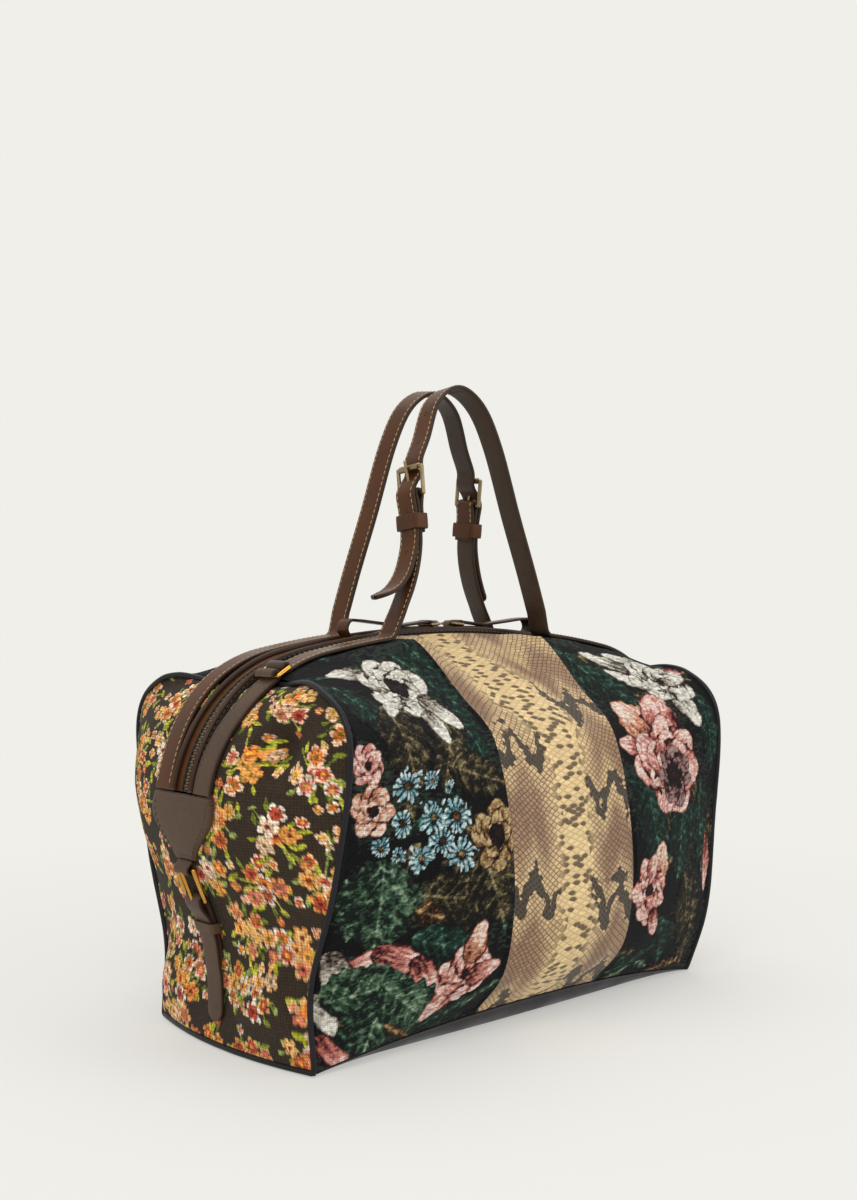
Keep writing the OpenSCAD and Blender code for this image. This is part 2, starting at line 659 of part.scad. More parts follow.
// handle, drawn in its own plane: X along the bag, Z up from the turning line
leg_x = -buckle_foot + leg_in;
fold_t = strap_thickness - 0.4;
fold_x = fold_t / 2 + 0.3;
loop_r = wire / 2 + 0.3 + fold_t / 2;
tail_x = -(fold_x + fold_t / 2 + gap + ht);
top = buckle_height + buckle_length;
in_x = roller + 0.3 + ht;
arch = 28;
leg_top = 0.6 * buckle_height;
leg_keys = [[0, 0], [0.35, 0.5], [0.68, 0.83], [1, 1]];
function leg_mid(t) = lerp(-buckle_foot, leg_x - fold_x, lookup(t, leg_keys));
// a point of the tail, a share t of the way up the leg's sweep and d clear of the leg
function tail_key(t, d) = [leg_mid(t) - fold_t / 2 - gap - ht - d, t * leg_top];
function tail_keys(back) = back
    ? [tail_key(0.77, 0.9), tail_key(0.48, 1.3), tail_key(0.15, 1.5)]
    : [tail_key(0.81, 1.4), tail_key(0.53, 4), tail_key(0.32, 11), tail_key(0.2, 24)];
function long_path(back) = curve(concat(
    [[long_foot + (hw + 3) / tan(long_beta), -hw - 3], [long_foot, 0],
        [long_foot - 9, handle_rise * 0.19], [long_foot - 22, handle_rise * 0.44], [arch + 12, handle_rise * 0.75],
        [arch - 4, handle_rise - 13], [0, handle_rise], [4 - arch, handle_rise - 13],
        [leg_x + 14, top + 24], [leg_x + in_x + 0.6, top + 7], [leg_x + in_x, top - 2],
        [leg_x + 2.6, buckle_height + buckle_length * 0.68], [leg_x - 2.6, buckle_height + buckle_length * 0.4],
        [leg_x - loop_r - fold_t / 2 - gap - ht, buckle_height + 1],
        [leg_x - loop_r - fold_t / 2 - gap - ht + 0.4, buckle_height - 6],
        [leg_x + tail_x - 0.2, buckle_height - 15], [leg_x + tail_x, leg_top + 4]], tail_keys(back)), 4);
short_path = concat(
    curve(concat([[-buckle_foot - (hw + 3) / tan(buckle_beta), -hw - 3]],
        [for (k = leg_keys) [leg_mid(k[0]), k[0] * leg_top]],
        [[leg_x - fold_x, buckle_height - 20], [leg_x - fold_x, buckle_height - 10],
            [leg_x - loop_r, buckle_height]]), 4),
    [for (k = [1:7]) [leg_x - loop_r * cos(k * 22.5), buckle_height + loop_r * sin(k * 22.5)]],
    curve([[leg_x + loop_r, buckle_height], [leg_x + fold_x, buckle_height - 10], [leg_x + fold_x, buckle_height - 20],
        [leg_x + fold_x, buckle_height - fold_length]], 4));
module handle_place(back) {
    both_ways(back) translate([0, -hinge_y, hinge_z]) rotate([-handle_lean, 0, 0]) children();
}
// rounds the foot of a leg about the turning line, so that it swings clear of the run below it
module leg_cut(x) {
    difference() {
        translate([x - 15, -hw - 5, -hw - 12]) cube([30, 2 * hw + 10, hw + 12]);
        translate([x - 20, 0, 0]) rotate([0, 90, 0]) cylinder(r = hw + 0.5, h = 40);
    }
}
prong_r = 1.2;
module prong_line() {
    translate([leg_x, 0, buckle_height]) rotate([0, -atan2(roller + prong_r + 0.15, buckle_length), 0]) children();
}
module long_strap(back) {
    keys = tail_keys(back);
    tip = keys[len(keys) - 1];
    difference() {
        along_y(strap_width) polygon(strip(long_path(back), strap_thickness));
        leg_cut(long_foot);
        prong_line() cylinder(r = prong_r + 0.7, h = buckle_length * 0.8);
        for (z = [-46, -14, buckle_length + 20, buckle_length + 44])
            translate([leg_x - 16, 0, buckle_height + z]) rotate([0, 90, 0]) cylinder(d = 3, h = z > 0 ? 46 : 20);
        for (s = [-1, 1]) translate([tip[0], s * hw, tip[1]]) rotate(back ? [45, 0, 0] : [0, 0, 45])
            cube(back ? [30, 9, 9] : [9, 9, 30], center = true);
    }
}
module buckle_strap() {
    difference() {
        along_y(strap_width) polygon(strip(short_path, fold_t));
        leg_cut(-buckle_foot);
        translate([leg_x, 0, buckle_height + loop_r]) cube([4 * loop_r, 5, 2 * loop_r + 9], center = true);
    }
}
module buckle_frame() {
    translate([leg_x, 0, buckle_height]) wire_frame(buckle_length, strap_width + 2 * gap + 2 * wire, wire / 2);
}
module buckle_roller() {
    difference() {
        bar_y(leg_x, top, roller, strap_width + 1);
        bar_y(leg_x, top, wire / 2 + 0.15, strap_width + 2);
    }
}
module buckle_prong() {
    difference() {
        union() {
            bar_y(leg_x, buckle_height, wire / 2 + 1.5, 3.6);
            prong_line() {
                cylinder(r = prong_r, h = buckle_length + 5);
                translate([0, 0, buckle_length + 5]) sphere(prong_r);
            }
        }
        bar_y(leg_x, buckle_height, wire / 2 + 0.15, 10);
    }
}
keeper_v = leg_top + 9;
module keeper() {
    a = leg_x + tail_x - ht - gap;
    b = leg_x + fold_x + fold_t / 2 + gap;
    translate([(a + b) / 2, 0, keeper_v]) linear_extrude(keeper_height) difference() {
        square([b - a + 2 * keeper_wall, strap_width + 2 * gap + 2 * keeper_wall], center = true);
        square([b - a, strap_width + 2 * gap], center = true);
    }
}
module long_strap_front() {
    color([0.38, 0.26, 0.16]) handle_place(false) long_strap(false);
}
module buckle_strap_front() {
    color([0.38, 0.26, 0.16]) handle_place(false) buckle_strap();
}
module buckle_frame_front() {
    color([0.82, 0.7, 0.45]) handle_place(false) buckle_frame();
}
module buckle_roller_front() {
    color([0.82, 0.7, 0.45]) handle_place(false) buckle_roller();
}
module buckle_prong_front() {
    color([0.82, 0.7, 0.45]) handle_place(false) buckle_prong();
}
module keeper_front() {
    color([0.38, 0.26, 0.16]) handle_place(false) keeper();
}
module long_strap_back() {
    color([0.38, 0.26, 0.16]) handle_place(true) long_strap(true);
}
module buckle_strap_back() {
    color([0.38, 0.26, 0.16]) handle_place(true) buckle_strap();
}
module buckle_frame_back() {
    color([0.82, 0.7, 0.45]) handle_place(true) buckle_frame();
}
module buckle_roller_back() {
    color([0.82, 0.7, 0.45]) handle_place(true) buckle_roller();
}
module buckle_prong_back() {
    color([0.82, 0.7, 0.45]) handle_place(true) buckle_prong();
}
module keeper_back() {
    color([0.38, 0.26, 0.16]) handle_place(true) keeper();
}

// zip sliders and pulls, drawn on the left, with the pull's pivot along Y
slider_x = -(slider_gap / 2 + slider_length / 2);
slider_base = 1 + gap;
pivot_h = slider_base + 6.2;
pull_wire = 1.2;
pull_pitch = 8;
module on_crown(x) {
    translate([0, 0, crown_centre]) rotate([0, asin(x / crown_radius), 0]) translate([0, 0, crown_radius]) children();
}
module slider() {
    on_crown(slider_x) difference() {
        union() {
            translate([0, 0, slider_base]) linear_extrude(2.4) {
                square([slider_length - 5, 10], center = true);
                for (s = [-1, 1]) translate([s * (slider_length / 2 - 4), 0]) circle(4);
            }
            translate([-4.5, -2.2, slider_base + 2]) cube([9, 4.4, pivot_h - slider_base - 2]);
            translate([0, 2.2, pivot_h]) rotate([90, 0, 0]) linear_extrude(4.4) {
                translate([-1.8, -1]) square([3.6, 3.4]);
                for (s = [-1, 1]) translate([s * 1.8, 0]) circle(2.7);
            }
        }
        bar_y(0, pivot_h, pull_wire + gap, 12);
    }
}
ring_y = pull_width + 2 * gap + 2 * pull_wire;
module pull_place() {
    on_crown(slider_x) translate([0, 0, pivot_h]) rotate([0, -pull_rest, 0]) children();
}
eye_x = -pull_pitch;
eye_r = pull_wire + gap;
pull_low = -(pivot_h - 1 - gap - 0.5);
pull_rest = 3;
module pull_ring() {
    pull_place() rotate([0, -90, 0]) wire_frame(pull_pitch, ring_y, pull_wire);
}
neck = 0.4 * pull_length;
pull_path = let (l = pull_length, h = pull_height, b = pull_low + pull_leather / 2, e = pull_leather) curve([
    [eye_x - neck + 6, -e / 2 - 0.1], [eye_x - l * 0.56, b + 1], [eye_x - l * 0.78, b], [eye_x - l * 0.93, b + 0.9],
    [eye_x - l + e / 2, b + h * 0.45], [eye_x - l * 0.945, b + h * 0.88], [eye_x - l * 0.84, b + h - e],
    [eye_x - l * 0.62, b + h * 0.66], [eye_x - neck + 6, e / 2 + 0.1]], 5);
pull_outer = [for (i = [0:len(pull_path) - 1]) pull_path[i] + pull_leather / 2 * across(pull_path, i)];
pull_inner = [for (i = [0:len(pull_path) - 1]) pull_path[i] - pull_leather / 2 * across(pull_path, i)];
module pull_loop() {
    r = eye_r + pull_leather * 0.7;
    pull_place() along_y(pull_width) difference() {
        polygon(concat(pull_outer, [for (a = [120:-20:-120]) [eye_x + r * cos(a), r * sin(a)]]));
        polygon([for (q = pull_inner) if (q[0] < eye_x - neck) q]);
        translate([eye_x, 0]) circle(eye_r);
    }
}
module slider_left() {
    color([0.8, 0.6, 0.25]) slider();
}
module slider_right() {
    color([0.8, 0.6, 0.25]) turned() slider();
}
module pull_ring_left() {
    color([0.8, 0.6, 0.25]) pull_ring();
}
module pull_ring_right() {
    color([0.8, 0.6, 0.25]) turned() pull_ring();
}
module pull_loop_left() {
    color([0.36, 0.3, 0.26]) pull_loop();
}
module pull_loop_right() {
    color([0.36, 0.3, 0.26]) turned() pull_loop();
}

front_panel_left();
front_band();
front_panel_right();
back_panel_left();
back_band();
back_panel_right();
end_panel_left();
end_panel_right();
base_panel();
base_board();
piping_left();
piping_right();
zip_chain();
zip_facing_front();
zip_facing_back();
end_tab_left();
end_tab_right();
long_run_front();
long_run_back();
end_strap_front();
end_strap_back();
buckle_run_front();
buckle_run_back();
shoulder_ring_front();
shoulder_ring_back();
end_chape_left();
end_chape_right();
end_buckle_left();
end_buckle_right();
end_prong_left();
end_prong_right();
end_belt_left();
end_belt_right();
end_keeper_left();
end_keeper_right();
long_strap_front();
buckle_strap_front();
buckle_frame_front();
buckle_roller_front();
buckle_prong_front();
keeper_front();
long_strap_back();
buckle_strap_back();
buckle_frame_back();
buckle_roller_back();
buckle_prong_back();
keeper_back();
slider_left();
slider_right();
pull_ring_left();
pull_ring_right();
pull_loop_left();
pull_loop_right();
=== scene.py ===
"""Looks of a carpet bag: woven flower panels, a snakeskin-print band, leather straps, stitching, zip and metal."""

import bpy
import numpy as np
from bpy.props import FloatProperty, FloatVectorProperty, PointerProperty
from bpy.types import Operator, Panel, PropertyGroup
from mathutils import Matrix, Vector


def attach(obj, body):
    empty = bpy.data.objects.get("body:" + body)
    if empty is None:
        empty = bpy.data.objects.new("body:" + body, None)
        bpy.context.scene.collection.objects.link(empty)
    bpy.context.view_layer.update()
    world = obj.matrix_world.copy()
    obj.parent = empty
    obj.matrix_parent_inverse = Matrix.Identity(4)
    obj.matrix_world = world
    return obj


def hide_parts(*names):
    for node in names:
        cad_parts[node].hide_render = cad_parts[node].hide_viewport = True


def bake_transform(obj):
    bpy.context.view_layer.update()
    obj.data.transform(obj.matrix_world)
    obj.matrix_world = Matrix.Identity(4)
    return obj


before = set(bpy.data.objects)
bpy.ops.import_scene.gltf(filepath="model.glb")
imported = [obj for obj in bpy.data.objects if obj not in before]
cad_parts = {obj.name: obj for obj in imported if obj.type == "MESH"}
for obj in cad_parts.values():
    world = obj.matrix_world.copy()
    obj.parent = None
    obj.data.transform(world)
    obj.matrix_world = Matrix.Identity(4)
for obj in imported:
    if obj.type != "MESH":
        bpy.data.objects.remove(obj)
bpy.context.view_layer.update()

bl_info = {
    "name": "Carpet bag looks",
    "version": (1, 0, 0),
    "blender": (4, 5, 0),
    "location": "View3D > Sidebar > Carpet bag",
    "description": "Dresses the packed carpet bag with cloth, leather, stitching and metal",
    "category": "Object",
}

# Sizes of the bag's form, in millimetres
MM = 0.001
HALF_BASE, BASE_HALF, BODY_HEIGHT = 201.0, 93.5, 291.0
END_OVERHANG, END_FOOT = 42.0, 13.0
SHOULDER_R, CROWN_R = 113.0, 800.0
LEFT_SHOULDER, RIGHT_SHOULDER, SHOULDER_HEIGHT = 131.0, 125.0, 222.0
BELLY, BELLY_HEIGHT = 145.0, 128.0
LEFT_WAIST, RIGHT_WAIST, WAIST_HEIGHT = 90.0, 113.0, 58.0
ROOF_DROP, BASE_RISE, END_DENT, END_FULL = 18.0, 16.0, 25.0, 7.0
BAND_LEFT, BAND_LEFT_TOP, BAND_RIGHT = 62.0, 76.0, 68.0
GAP, PIPE_R, PANEL_T, BASE_T, TUCK = 0.4, 2.1, 2.4, 2.6, 1.3
CHAIN_W, FACING_W = 6.0, 9.5
STRAP_W, STRAP_T = 20.0, 3.0
HINGE_Y, HINGE_Z = 33.5, 308.0
TAB_TOP, TAB_LENGTH, TAB_FOOT, TAB_T = 183.0, 46.0, 22.0, 4.0
HANDLE_RISE, HANDLE_LEAN = 180.0, np.radians(6.0)
LONG_FOOT, BUCKLE_FOOT, LEG_IN = 77.0, 76.0, 23.0
LONG_BETA, BUCKLE_BETA, BEND_R = np.radians(77.0), np.radians(62.0), 9.0
BUCKLE_HEIGHT, BUCKLE_LENGTH, WIRE, FOLD_LENGTH = 91.0, 21.0, 3.2, 30.0
KEEPER_HEIGHT, KEEPER_WALL = 12.0, 1.8
BELT_W, BELT_T, BELT_START, BELT_TIP, END_BUCKLE = 18.0, 2.4, 66.0, 20.0, 21.0
PULL_LENGTH, PULL_HEIGHT, PULL_W, PULL_T = 86.0, 15.0, 13.0, 2.0
FACING_LIP = 4.0
SLIDER_X = -9.0
RING_PHI, RING_BAR = np.radians(59.0), 1.7
BASE_CURL, BEND_HALF = 24.0, 7.0
STITCH_SIDES = 5

# Values worked out from those sizes
HALF_T = STRAP_T / 2
FACING_OUT = CHAIN_W / 2 + GAP + FACING_W
SEAM = PIPE_R + 0.9
ZIP_HALF = FACING_OUT + PANEL_T / 2 + GAP
STRAP_OUT = HINGE_Y + STRAP_W / 2 + 3.5
XS = HALF_BASE + END_OVERHANG - SHOULDER_R
ZS = BODY_HEIGHT - CROWN_R + np.sqrt((CROWN_R - SHOULDER_R) ** 2 - XS**2)
CROWN_ANGLE = np.arcsin(XS / (CROWN_R - SHOULDER_R))
CROWN_X = CROWN_R * np.sin(CROWN_ANGLE)
CROWN_C = BODY_HEIGHT - CROWN_R
SEAM_TOP = HALF_BASE - 10
BASE_Z = BASE_T + GAP
FOOT_Z = PIPE_R + GAP
TAB_Y = FACING_OUT + 1.1 + STRAP_W / 2
TAB_HALF = TAB_Y + STRAP_W / 2 + 1
TAB_PHI = np.arcsin((TAB_TOP - ZS) / SHOULDER_R)
LIFT = GAP + 0.2
EYE_LIFT = RING_BAR + GAP + 2.6
EYE_TURN = (2 * (RING_BAR + GAP + 2.4) + 0.8) / 2 / SHOULDER_R
LEG_X = -BUCKLE_FOOT + LEG_IN
LEG_TOP = 0.6 * BUCKLE_HEIGHT
FOLD_T = STRAP_T - 0.4
FOLD_X = FOLD_T / 2 + 0.3
LOOP_R = WIRE / 2 + 0.3 + FOLD_T / 2
TAIL_X = -(FOLD_X + FOLD_T / 2 + GAP + HALF_T)
PIVOT_H = 1 + GAP + 6.2


# Form of the bag

def lerp(a, b, t):
    """The value a share t of the way from a to b."""
    return a + (b - a) * t


def smooth(t):
    """Rises from 0 to 1 with level ends."""
    t = np.clip(t, 0, 1)
    return t * t * (3 - 2 * t)


def unit(v):
    """Vectors v made one long."""
    return v / np.maximum(np.linalg.norm(v, axis=-1, keepdims=True), 1e-9)


def vec(*parts):
    """Parts side by side as the last axis, each spread to their common shape."""
    return np.stack(np.broadcast_arrays(*parts), -1)


def join(*parts, axis=0):
    """Arrays end to end."""
    return np.concatenate(parts, axis=axis)


def left_of(line):
    """Unit directions to the left of a plane line, as it is walked."""
    d = unit(np.gradient(line, axis=0))
    return vec(-d[:, 1], d[:, 0])


def upright(line):
    """A line of x and height, as points of the bag's middle plane."""
    return vec(line[:, 0], 0.0, line[:, 1])


def bell(y, z, at, spread):
    """A hump that is 1 at a place and falls off as a Gaussian over a spread each way."""
    return np.exp(-(((y - at[0]) / spread[0]) ** 2) - ((z - at[1]) / spread[1]) ** 2)


def zip_z(x):
    """Height of the zip line: a wide crown arc that runs into a shoulder arc at each end."""
    x = np.abs(x)
    crown = CROWN_C + np.sqrt(np.maximum(CROWN_R**2 - x**2, 0))
    side = ZS + np.sqrt(np.maximum(SHOULDER_R**2 - (x - XS) ** 2, 0))
    return np.where(x <= CROWN_X, crown, side)


def end_x(z):
    """Reach of an end's middle line: the shoulder arc above, drawn in to the foot below."""
    up = XS + np.sqrt(np.maximum(SHOULDER_R**2 - (z - ZS) ** 2, 0))
    share = smooth((z - WAIST_HEIGHT) / (ZS - WAIST_HEIGHT))
    down = HALF_BASE + lerp(END_FOOT, END_OVERHANG, share)
    return np.where(z >= ZS, up, down)


def spline(p, s):
    """Catmull-Rom curve through keys p[..., n, d] at parameters s[...]."""
    n = p.shape[-2] - 1
    q = join(2 * p[..., :1, :] - p[..., 1:2, :], p, 2 * p[..., -1:, :] - p[..., -2:-1, :], axis=-2)
    i = np.clip(np.floor(s).astype(int), 0, n - 1)
    t = (s - i)[..., None]
    if p.ndim == 2:
        a, b, c, d = (q[i + k] for k in range(4))
    else:
        pick = lambda k: np.take_along_axis(q, (i + k)[..., None, None], axis=-2)[..., 0, :]
        a, b, c, d = (pick(k) for k in range(4))
    cubic = (2 * a - 5 * b + 4 * c - d) * t**2 + (3 * b - a - 3 * c + d) * t**3
    return 0.5 * (2 * b + (c - a) * t + cubic)


def curve(keys, steps):
    """The spline through a short list of keys, with so many steps between neighbours."""
    p = np.array(keys, float)
    return spline(p, np.linspace(0, len(p) - 1, steps * (len(p) - 1) + 1))


def section_keys(x):
    """Keys of the panel's section at x, from the zip down to the base, as distance out and height."""
    m = 1 - np.minimum(1, np.abs(x) / HALF_BASE) ** 2.4
    z = zip_z(np.minimum(np.abs(x), SEAM_TOP))
    top = float(zip_z(SEAM_TOP))
    w = np.where(x < 0, LEFT_WAIST, RIGHT_WAIST)
    d = np.where(x < 0, LEFT_SHOULDER, RIGHT_SHOULDER)
    sag = ROOF_DROP * (1 - smooth((np.abs(x) - 35) / 35))
    keys = [
        (ZIP_HALF, z),
        (STRAP_OUT, z - sag),
        (lerp(d - 32, BELLY - 55, m), lerp(top - 4, BODY_HEIGHT - 44, m)),
        (lerp(d, BELLY - 19, m), lerp(SHOULDER_HEIGHT, SHOULDER_HEIGHT - 12, m)),
        (lerp(lerp(w, d, 0.6), BELLY, m), BELLY_HEIGHT),
        (lerp(w, BELLY - 7, m), WAIST_HEIGHT),
        (lerp(BASE_HALF, BASE_HALF + 11, m), lerp(BASE_Z, BASE_Z + BASE_RISE, m)),
    ]
    return np.stack([vec(out, height + 0 * m) for out, height in keys], -2)


def seam_x(s):
    """Distance of the piped seam from the middle, s keys down the section."""
    return lerp(SEAM_TOP, HALF_BASE, smooth((s - 0.8) / 1.4))


def band_edge(s):
    """Left edge of the centre band, s keys down the section."""
    return -lerp(BAND_LEFT_TOP, BAND_LEFT, smooth(s / 2.6))


def front_point(x, s):
    """Point of the front at x, s keys down the section, never above the zip line."""
    k = section_keys(x)
    p = spline(k, s)
    return vec(x, -p[..., 0], np.minimum(p[..., 1], k[..., 0, 1]))


PANEL_EDGES = {
    "left": (lambda s: TUCK - seam_x(s), band_edge),
    "band": (band_edge, lambda s: BAND_RIGHT + 0 * s),
    "right": (lambda s: BAND_RIGHT + 0 * s, lambda s: seam_x(s) - TUCK),
}


def arc_length(p, axis=0):
    """Running length along points p."""
    d = np.linalg.norm(np.diff(p, axis=axis), axis=-1)
    zero = np.zeros_like(np.take(d, [0], axis=axis))
    return join(zero, np.cumsum(d, axis=axis), axis=axis)


def front_grid(part, pitch):
    """Grid of a front panel in even steps, and its flat pattern: x, and length down from the zip."""
    lo, hi = PANEL_EDGES[part]
    half_way = np.array(3.0)
    left, right = float(lo(half_way)), float(hi(half_way))
    s = np.linspace(0, 6, 1200)
    a = arc_length(front_point(0.5 * (left + right) + 0 * s, s))
    s = np.interp(np.linspace(0, a[-1], int(a[-1] / pitch) + 1), a, s)
    u = np.linspace(0, 1, int((right - left) / pitch) + 1)[:, None]
    x = lerp(lo(s)[None, :], hi(s)[None, :], u)
    p = front_point(x, np.broadcast_to(s, x.shape))
    return p, vec(x, arc_length(p, axis=1))


def seam_point(side, s):
    """The piped seam as distance out and height, s keys down, on the left (-1) or right (1) end."""
    k = section_keys(np.array(side * HALF_BASE))
    p = spline(np.broadcast_to(k, s.shape + k.shape), s)
    return vec(p[..., 0], np.minimum(p[..., 1], k[0, 1]))


def sink(s):
    """How far the piping sinks into the seam where the straps pass over it."""
    return (PIPE_R + 0.7) * (1 - smooth((s - 1) / 0.6))


def foot_x(y):
    """Reach of an end's foot, bowed out between its corners."""
    return HALF_BASE + END_FOOT * (1 - np.minimum(1, np.abs(y) / BASE_HALF) ** 2)


# Hollow of the left end and the lip over it: depth, place and spread as y and z; then the crease that
# runs down from the hollow towards the tab's foot, and the fullness of both ends low down
HOLLOW_AT, HOLLOW_SPREAD = (-70, 216), (22, 19)
LIP, LIP_AT, LIP_SPREAD = 10, (-72, 245), (24, 15)
CREASE, CREASE_AT, CREASE_RUN, CREASE_SPREAD = 8, (-68, 216), (42, -66), 90
FULL_HEIGHT, FULL_SPREAD = 32, 30


def end_half(side, hollow, pitch):
    """One half of the left end as drawn: lines from the rim to the zip slot, and along the rim, in even steps."""
    rim_keys, foot_keys, slot_z = 18.0, 5.0, TAB_TOP - 12
    top = float(zip_z(SEAM_TOP)) - SEAM - (PIPE_R + 0.7)

    def rim(k):
        s = lerp(1.0, 6.0, np.minimum(k, rim_keys) / rim_keys)
        d = unit(seam_point(side, np.minimum(s + 0.05, 6)) - seam_point(side, np.maximum(s - 0.05, 0)))
        q = seam_point(side, s) + (TUCK + sink(s))[:, None] * vec(d[:, 1], -d[:, 0])
        wall = vec(seam_x(s), -q[:, 0], np.maximum(q[:, 1], FOOT_Z + TUCK))
        y = -lerp(BASE_HALF - TUCK, 0, np.maximum(k - rim_keys, 0) / foot_keys)
        return np.where((k <= rim_keys)[:, None], wall, vec(foot_x(y), y, FOOT_Z + TUCK))

    k = np.linspace(0, rim_keys + foot_keys, 2000)
    a = arc_length(rim(k))
    k = np.interp(np.linspace(0, a[-1], int(a[-1] / pitch) + 1), a, k)
    o = rim(k)[:, None, :]
    iy = -lerp(ZIP_HALF, 0, np.maximum(k - rim_keys, 0) / foot_keys)[:, None]
    iz = lerp(top, slot_z, np.minimum(k, rim_keys) / rim_keys)[:, None]
    b = np.linspace(0, 1, int(104 / pitch) + 1)[None, :]
    y, z = lerp(o[..., 1], iy, b), lerp(o[..., 2], iz, b)
    dent = END_DENT * bell(y, z, HOLLOW_AT, HOLLOW_SPREAD) - LIP * bell(y, z, LIP_AT, LIP_SPREAD)
    (ay, az), (ry, rz) = CREASE_AT, CREASE_RUN
    share = np.clip(((y - ay) * ry + (z - az) * rz) / (ry**2 + rz**2), 0, 1)
    far = (y - ay - ry * share) ** 2 + (z - az - rz * share) ** 2
    dent = dent + CREASE * np.exp(-far / CREASE_SPREAD)
    full = END_FULL * np.exp(-(((z - FULL_HEIGHT) / FULL_SPREAD) ** 2))
    full = full * smooth((-y - 14) / 30) * np.sin(np.pi * np.minimum(1, b * 1.5)) ** 0.8
    reach = lerp(o[..., 0], end_x(z), 1 - (1 - b) ** (3.0 - 0.9 * hollow))
    x = reach - hollow * dent * np.sin(np.pi * np.minimum(1, b * 1.6)) + full
    return vec(-x, y, z)


def end_grid(side, pitch):
    """The whole end, front half and back half joined at the foot's middle."""
    front = end_half(side, 1.0 if side < 0 else 0.0, pitch)
    back = end_half(side, 0.0, pitch)[::-1] * [1, -1, 1]
    return join(front, back[1:])


# Meshes

def grid_quads(n, m, wrap_n=False, wrap_m=False):
    """Faces of an n by m grid of points, closed round either way on request."""
    i = np.arange(n if wrap_n else n - 1)[:, None]
    j = np.arange(m if wrap_m else m - 1)[None, :]
    i2, j2 = (i + 1) % n, (j + 1) % m
    return vec(i * m + j, i2 * m + j, i2 * m + j2, i * m + j2).reshape(-1, 4)


def mesh_object(name, points, quads, caps=(), values=None, colours=None, uv=None, material=None):
    """An object at the origin from points in millimetres, four-sided faces and end caps."""
    me = bpy.data.meshes.new(name)
    points = points.reshape(-1, 3)
    loops = join(quads.ravel(), *caps).astype(np.int32)
    sizes = join(np.full(len(quads), 4), [len(c) for c in caps]).astype(np.int32)
    me.vertices.add(len(points))
    me.vertices.foreach_set("co", (points * MM).astype(np.float32).ravel())
    me.loops.add(len(loops))
    me.loops.foreach_set("vertex_index", loops)
    me.polygons.add(len(sizes))
    me.polygons.foreach_set("loop_start", join([0], np.cumsum(sizes)[:-1]).astype(np.int32))
    for key, value in (values or {}).items():
        data = me.attributes.new(key, "FLOAT", "POINT").data
        data.foreach_set("value", np.asarray(value, np.float32).ravel())
    for key, value in (colours or {}).items():
        rgba = join(value.reshape(-1, 3), np.ones((len(points), 1)), axis=1)
        data = me.attributes.new(key, "FLOAT_COLOR", "POINT").data
        data.foreach_set("color", rgba.astype(np.float32).ravel())
    if uv is not None:
        layer = me.uv_layers.new(name="UVMap")
        layer.data.foreach_set("uv", uv.reshape(-1, 2)[loops].astype(np.float32).ravel())
    me.update(calc_edges=True)
    me.validate()
    me.shade_smooth()
    obj = bpy.data.objects.new(name, me)
    bpy.context.scene.collection.objects.link(obj)
    me.materials.append(material)
    return obj


def fit(obj, body, slot=None, *cad):
    """Rides a piece on a body, in place of CAD nodes where it has them; slot is not used."""
    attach(obj, body)
    if cad:
        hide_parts(*cad)


def slab(name, face, back, material, way=1):
    """A thick skin between two grids of points, walled round its rim. way -1 turns its faces round."""
    n, m = face.shape[:2]
    quads = grid_quads(n, m)
    rim = join(np.arange(m), m * np.arange(1, n) + m - 1, (n - 1) * m + np.arange(m - 1)[::-1],
               m * np.arange(1, n - 1)[::-1])
    after = np.roll(rim, -1)
    walls = vec(rim + n * m, after + n * m, after, rim)
    faces = join(quads, quads[:, ::-1] + n * m, walls)[:, ::way]
    points = join(face.reshape(-1, 3), back.reshape(-1, 3))
    return mesh_object(name, points, faces, values={"finish": np.ones(len(points))}, material=material)


def normals_of(p):
    """Unit normals of a grid of points, along the cross product of its two directions."""
    return unit(np.cross(np.gradient(p, axis=0), np.gradient(p, axis=1)))


def strap_profile(width, thick, radius, crown):
    """Outline of a strap's section: rounded edges and slightly domed faces, marked 1 outside, 0 edge, -1 lining."""
    r = min(radius, thick / 2)
    turn = np.linspace(0, np.pi / 2, 4)
    across = np.linspace(width / 2 - r, r - width / 2, 9)[1:-1]
    top = vec(across, thick / 2 + crown * (1 - (across / (width / 2)) ** 2))
    corner = vec(width / 2 - r + r * np.cos(turn), thick / 2 - r + r * np.sin(turn))
    half = join(corner, top, corner[::-1] * [-1, 1])
    mark = join([0, 0, 0.3, 1], np.ones(len(top)), [1, 0.3, 0, 0])
    low = half[::-1] * [1, -1]
    keep = slice(1, -1) if r >= thick / 2 else slice(None)
    return join(half, low[keep]), join(mark, -mark[::-1][keep])


def sweep(name, path, out, side, width, thick, material, closed=False, radius=0.9, crown=0.25, taper=0.0):
    """A strap: its section carried along a path, with out as the outer face and side as the width direction.
    taper rounds off the last stretch of that length to a tongue."""
    profile, mark = strap_profile(width, thick, radius, crown)
    length = arc_length(path)
    slim = np.ones(len(path))
    if taper:
        t = np.clip((length - (length[-1] - taper)) / taper, 0, 0.995)
        slim = np.sqrt(1 - t**2)
    p = path[:, None] + side[:, None] * (profile[None, :, :1] * slim[:, None, None])
    p = p + out[:, None] * profile[None, :, 1:]
    n, m = p.shape[:2]
    quads = grid_quads(n, m, wrap_n=closed, wrap_m=True)
    caps = [] if closed else [np.arange(m)[::-1], (n - 1) * m + np.arange(m)]
    if (np.cross(side, np.gradient(path, axis=0)) * out).sum(-1).mean() < 0:
        quads = quads[:, ::-1]
        caps = [c[::-1] for c in caps]
    uv = vec(length[:, None], np.arange(1, m + 1)[None, :]) / 100
    marks = np.broadcast_to(mark, (n, m))
    return mesh_object(name, p, quads, caps, values={"finish": marks}, uv=uv, material=material)


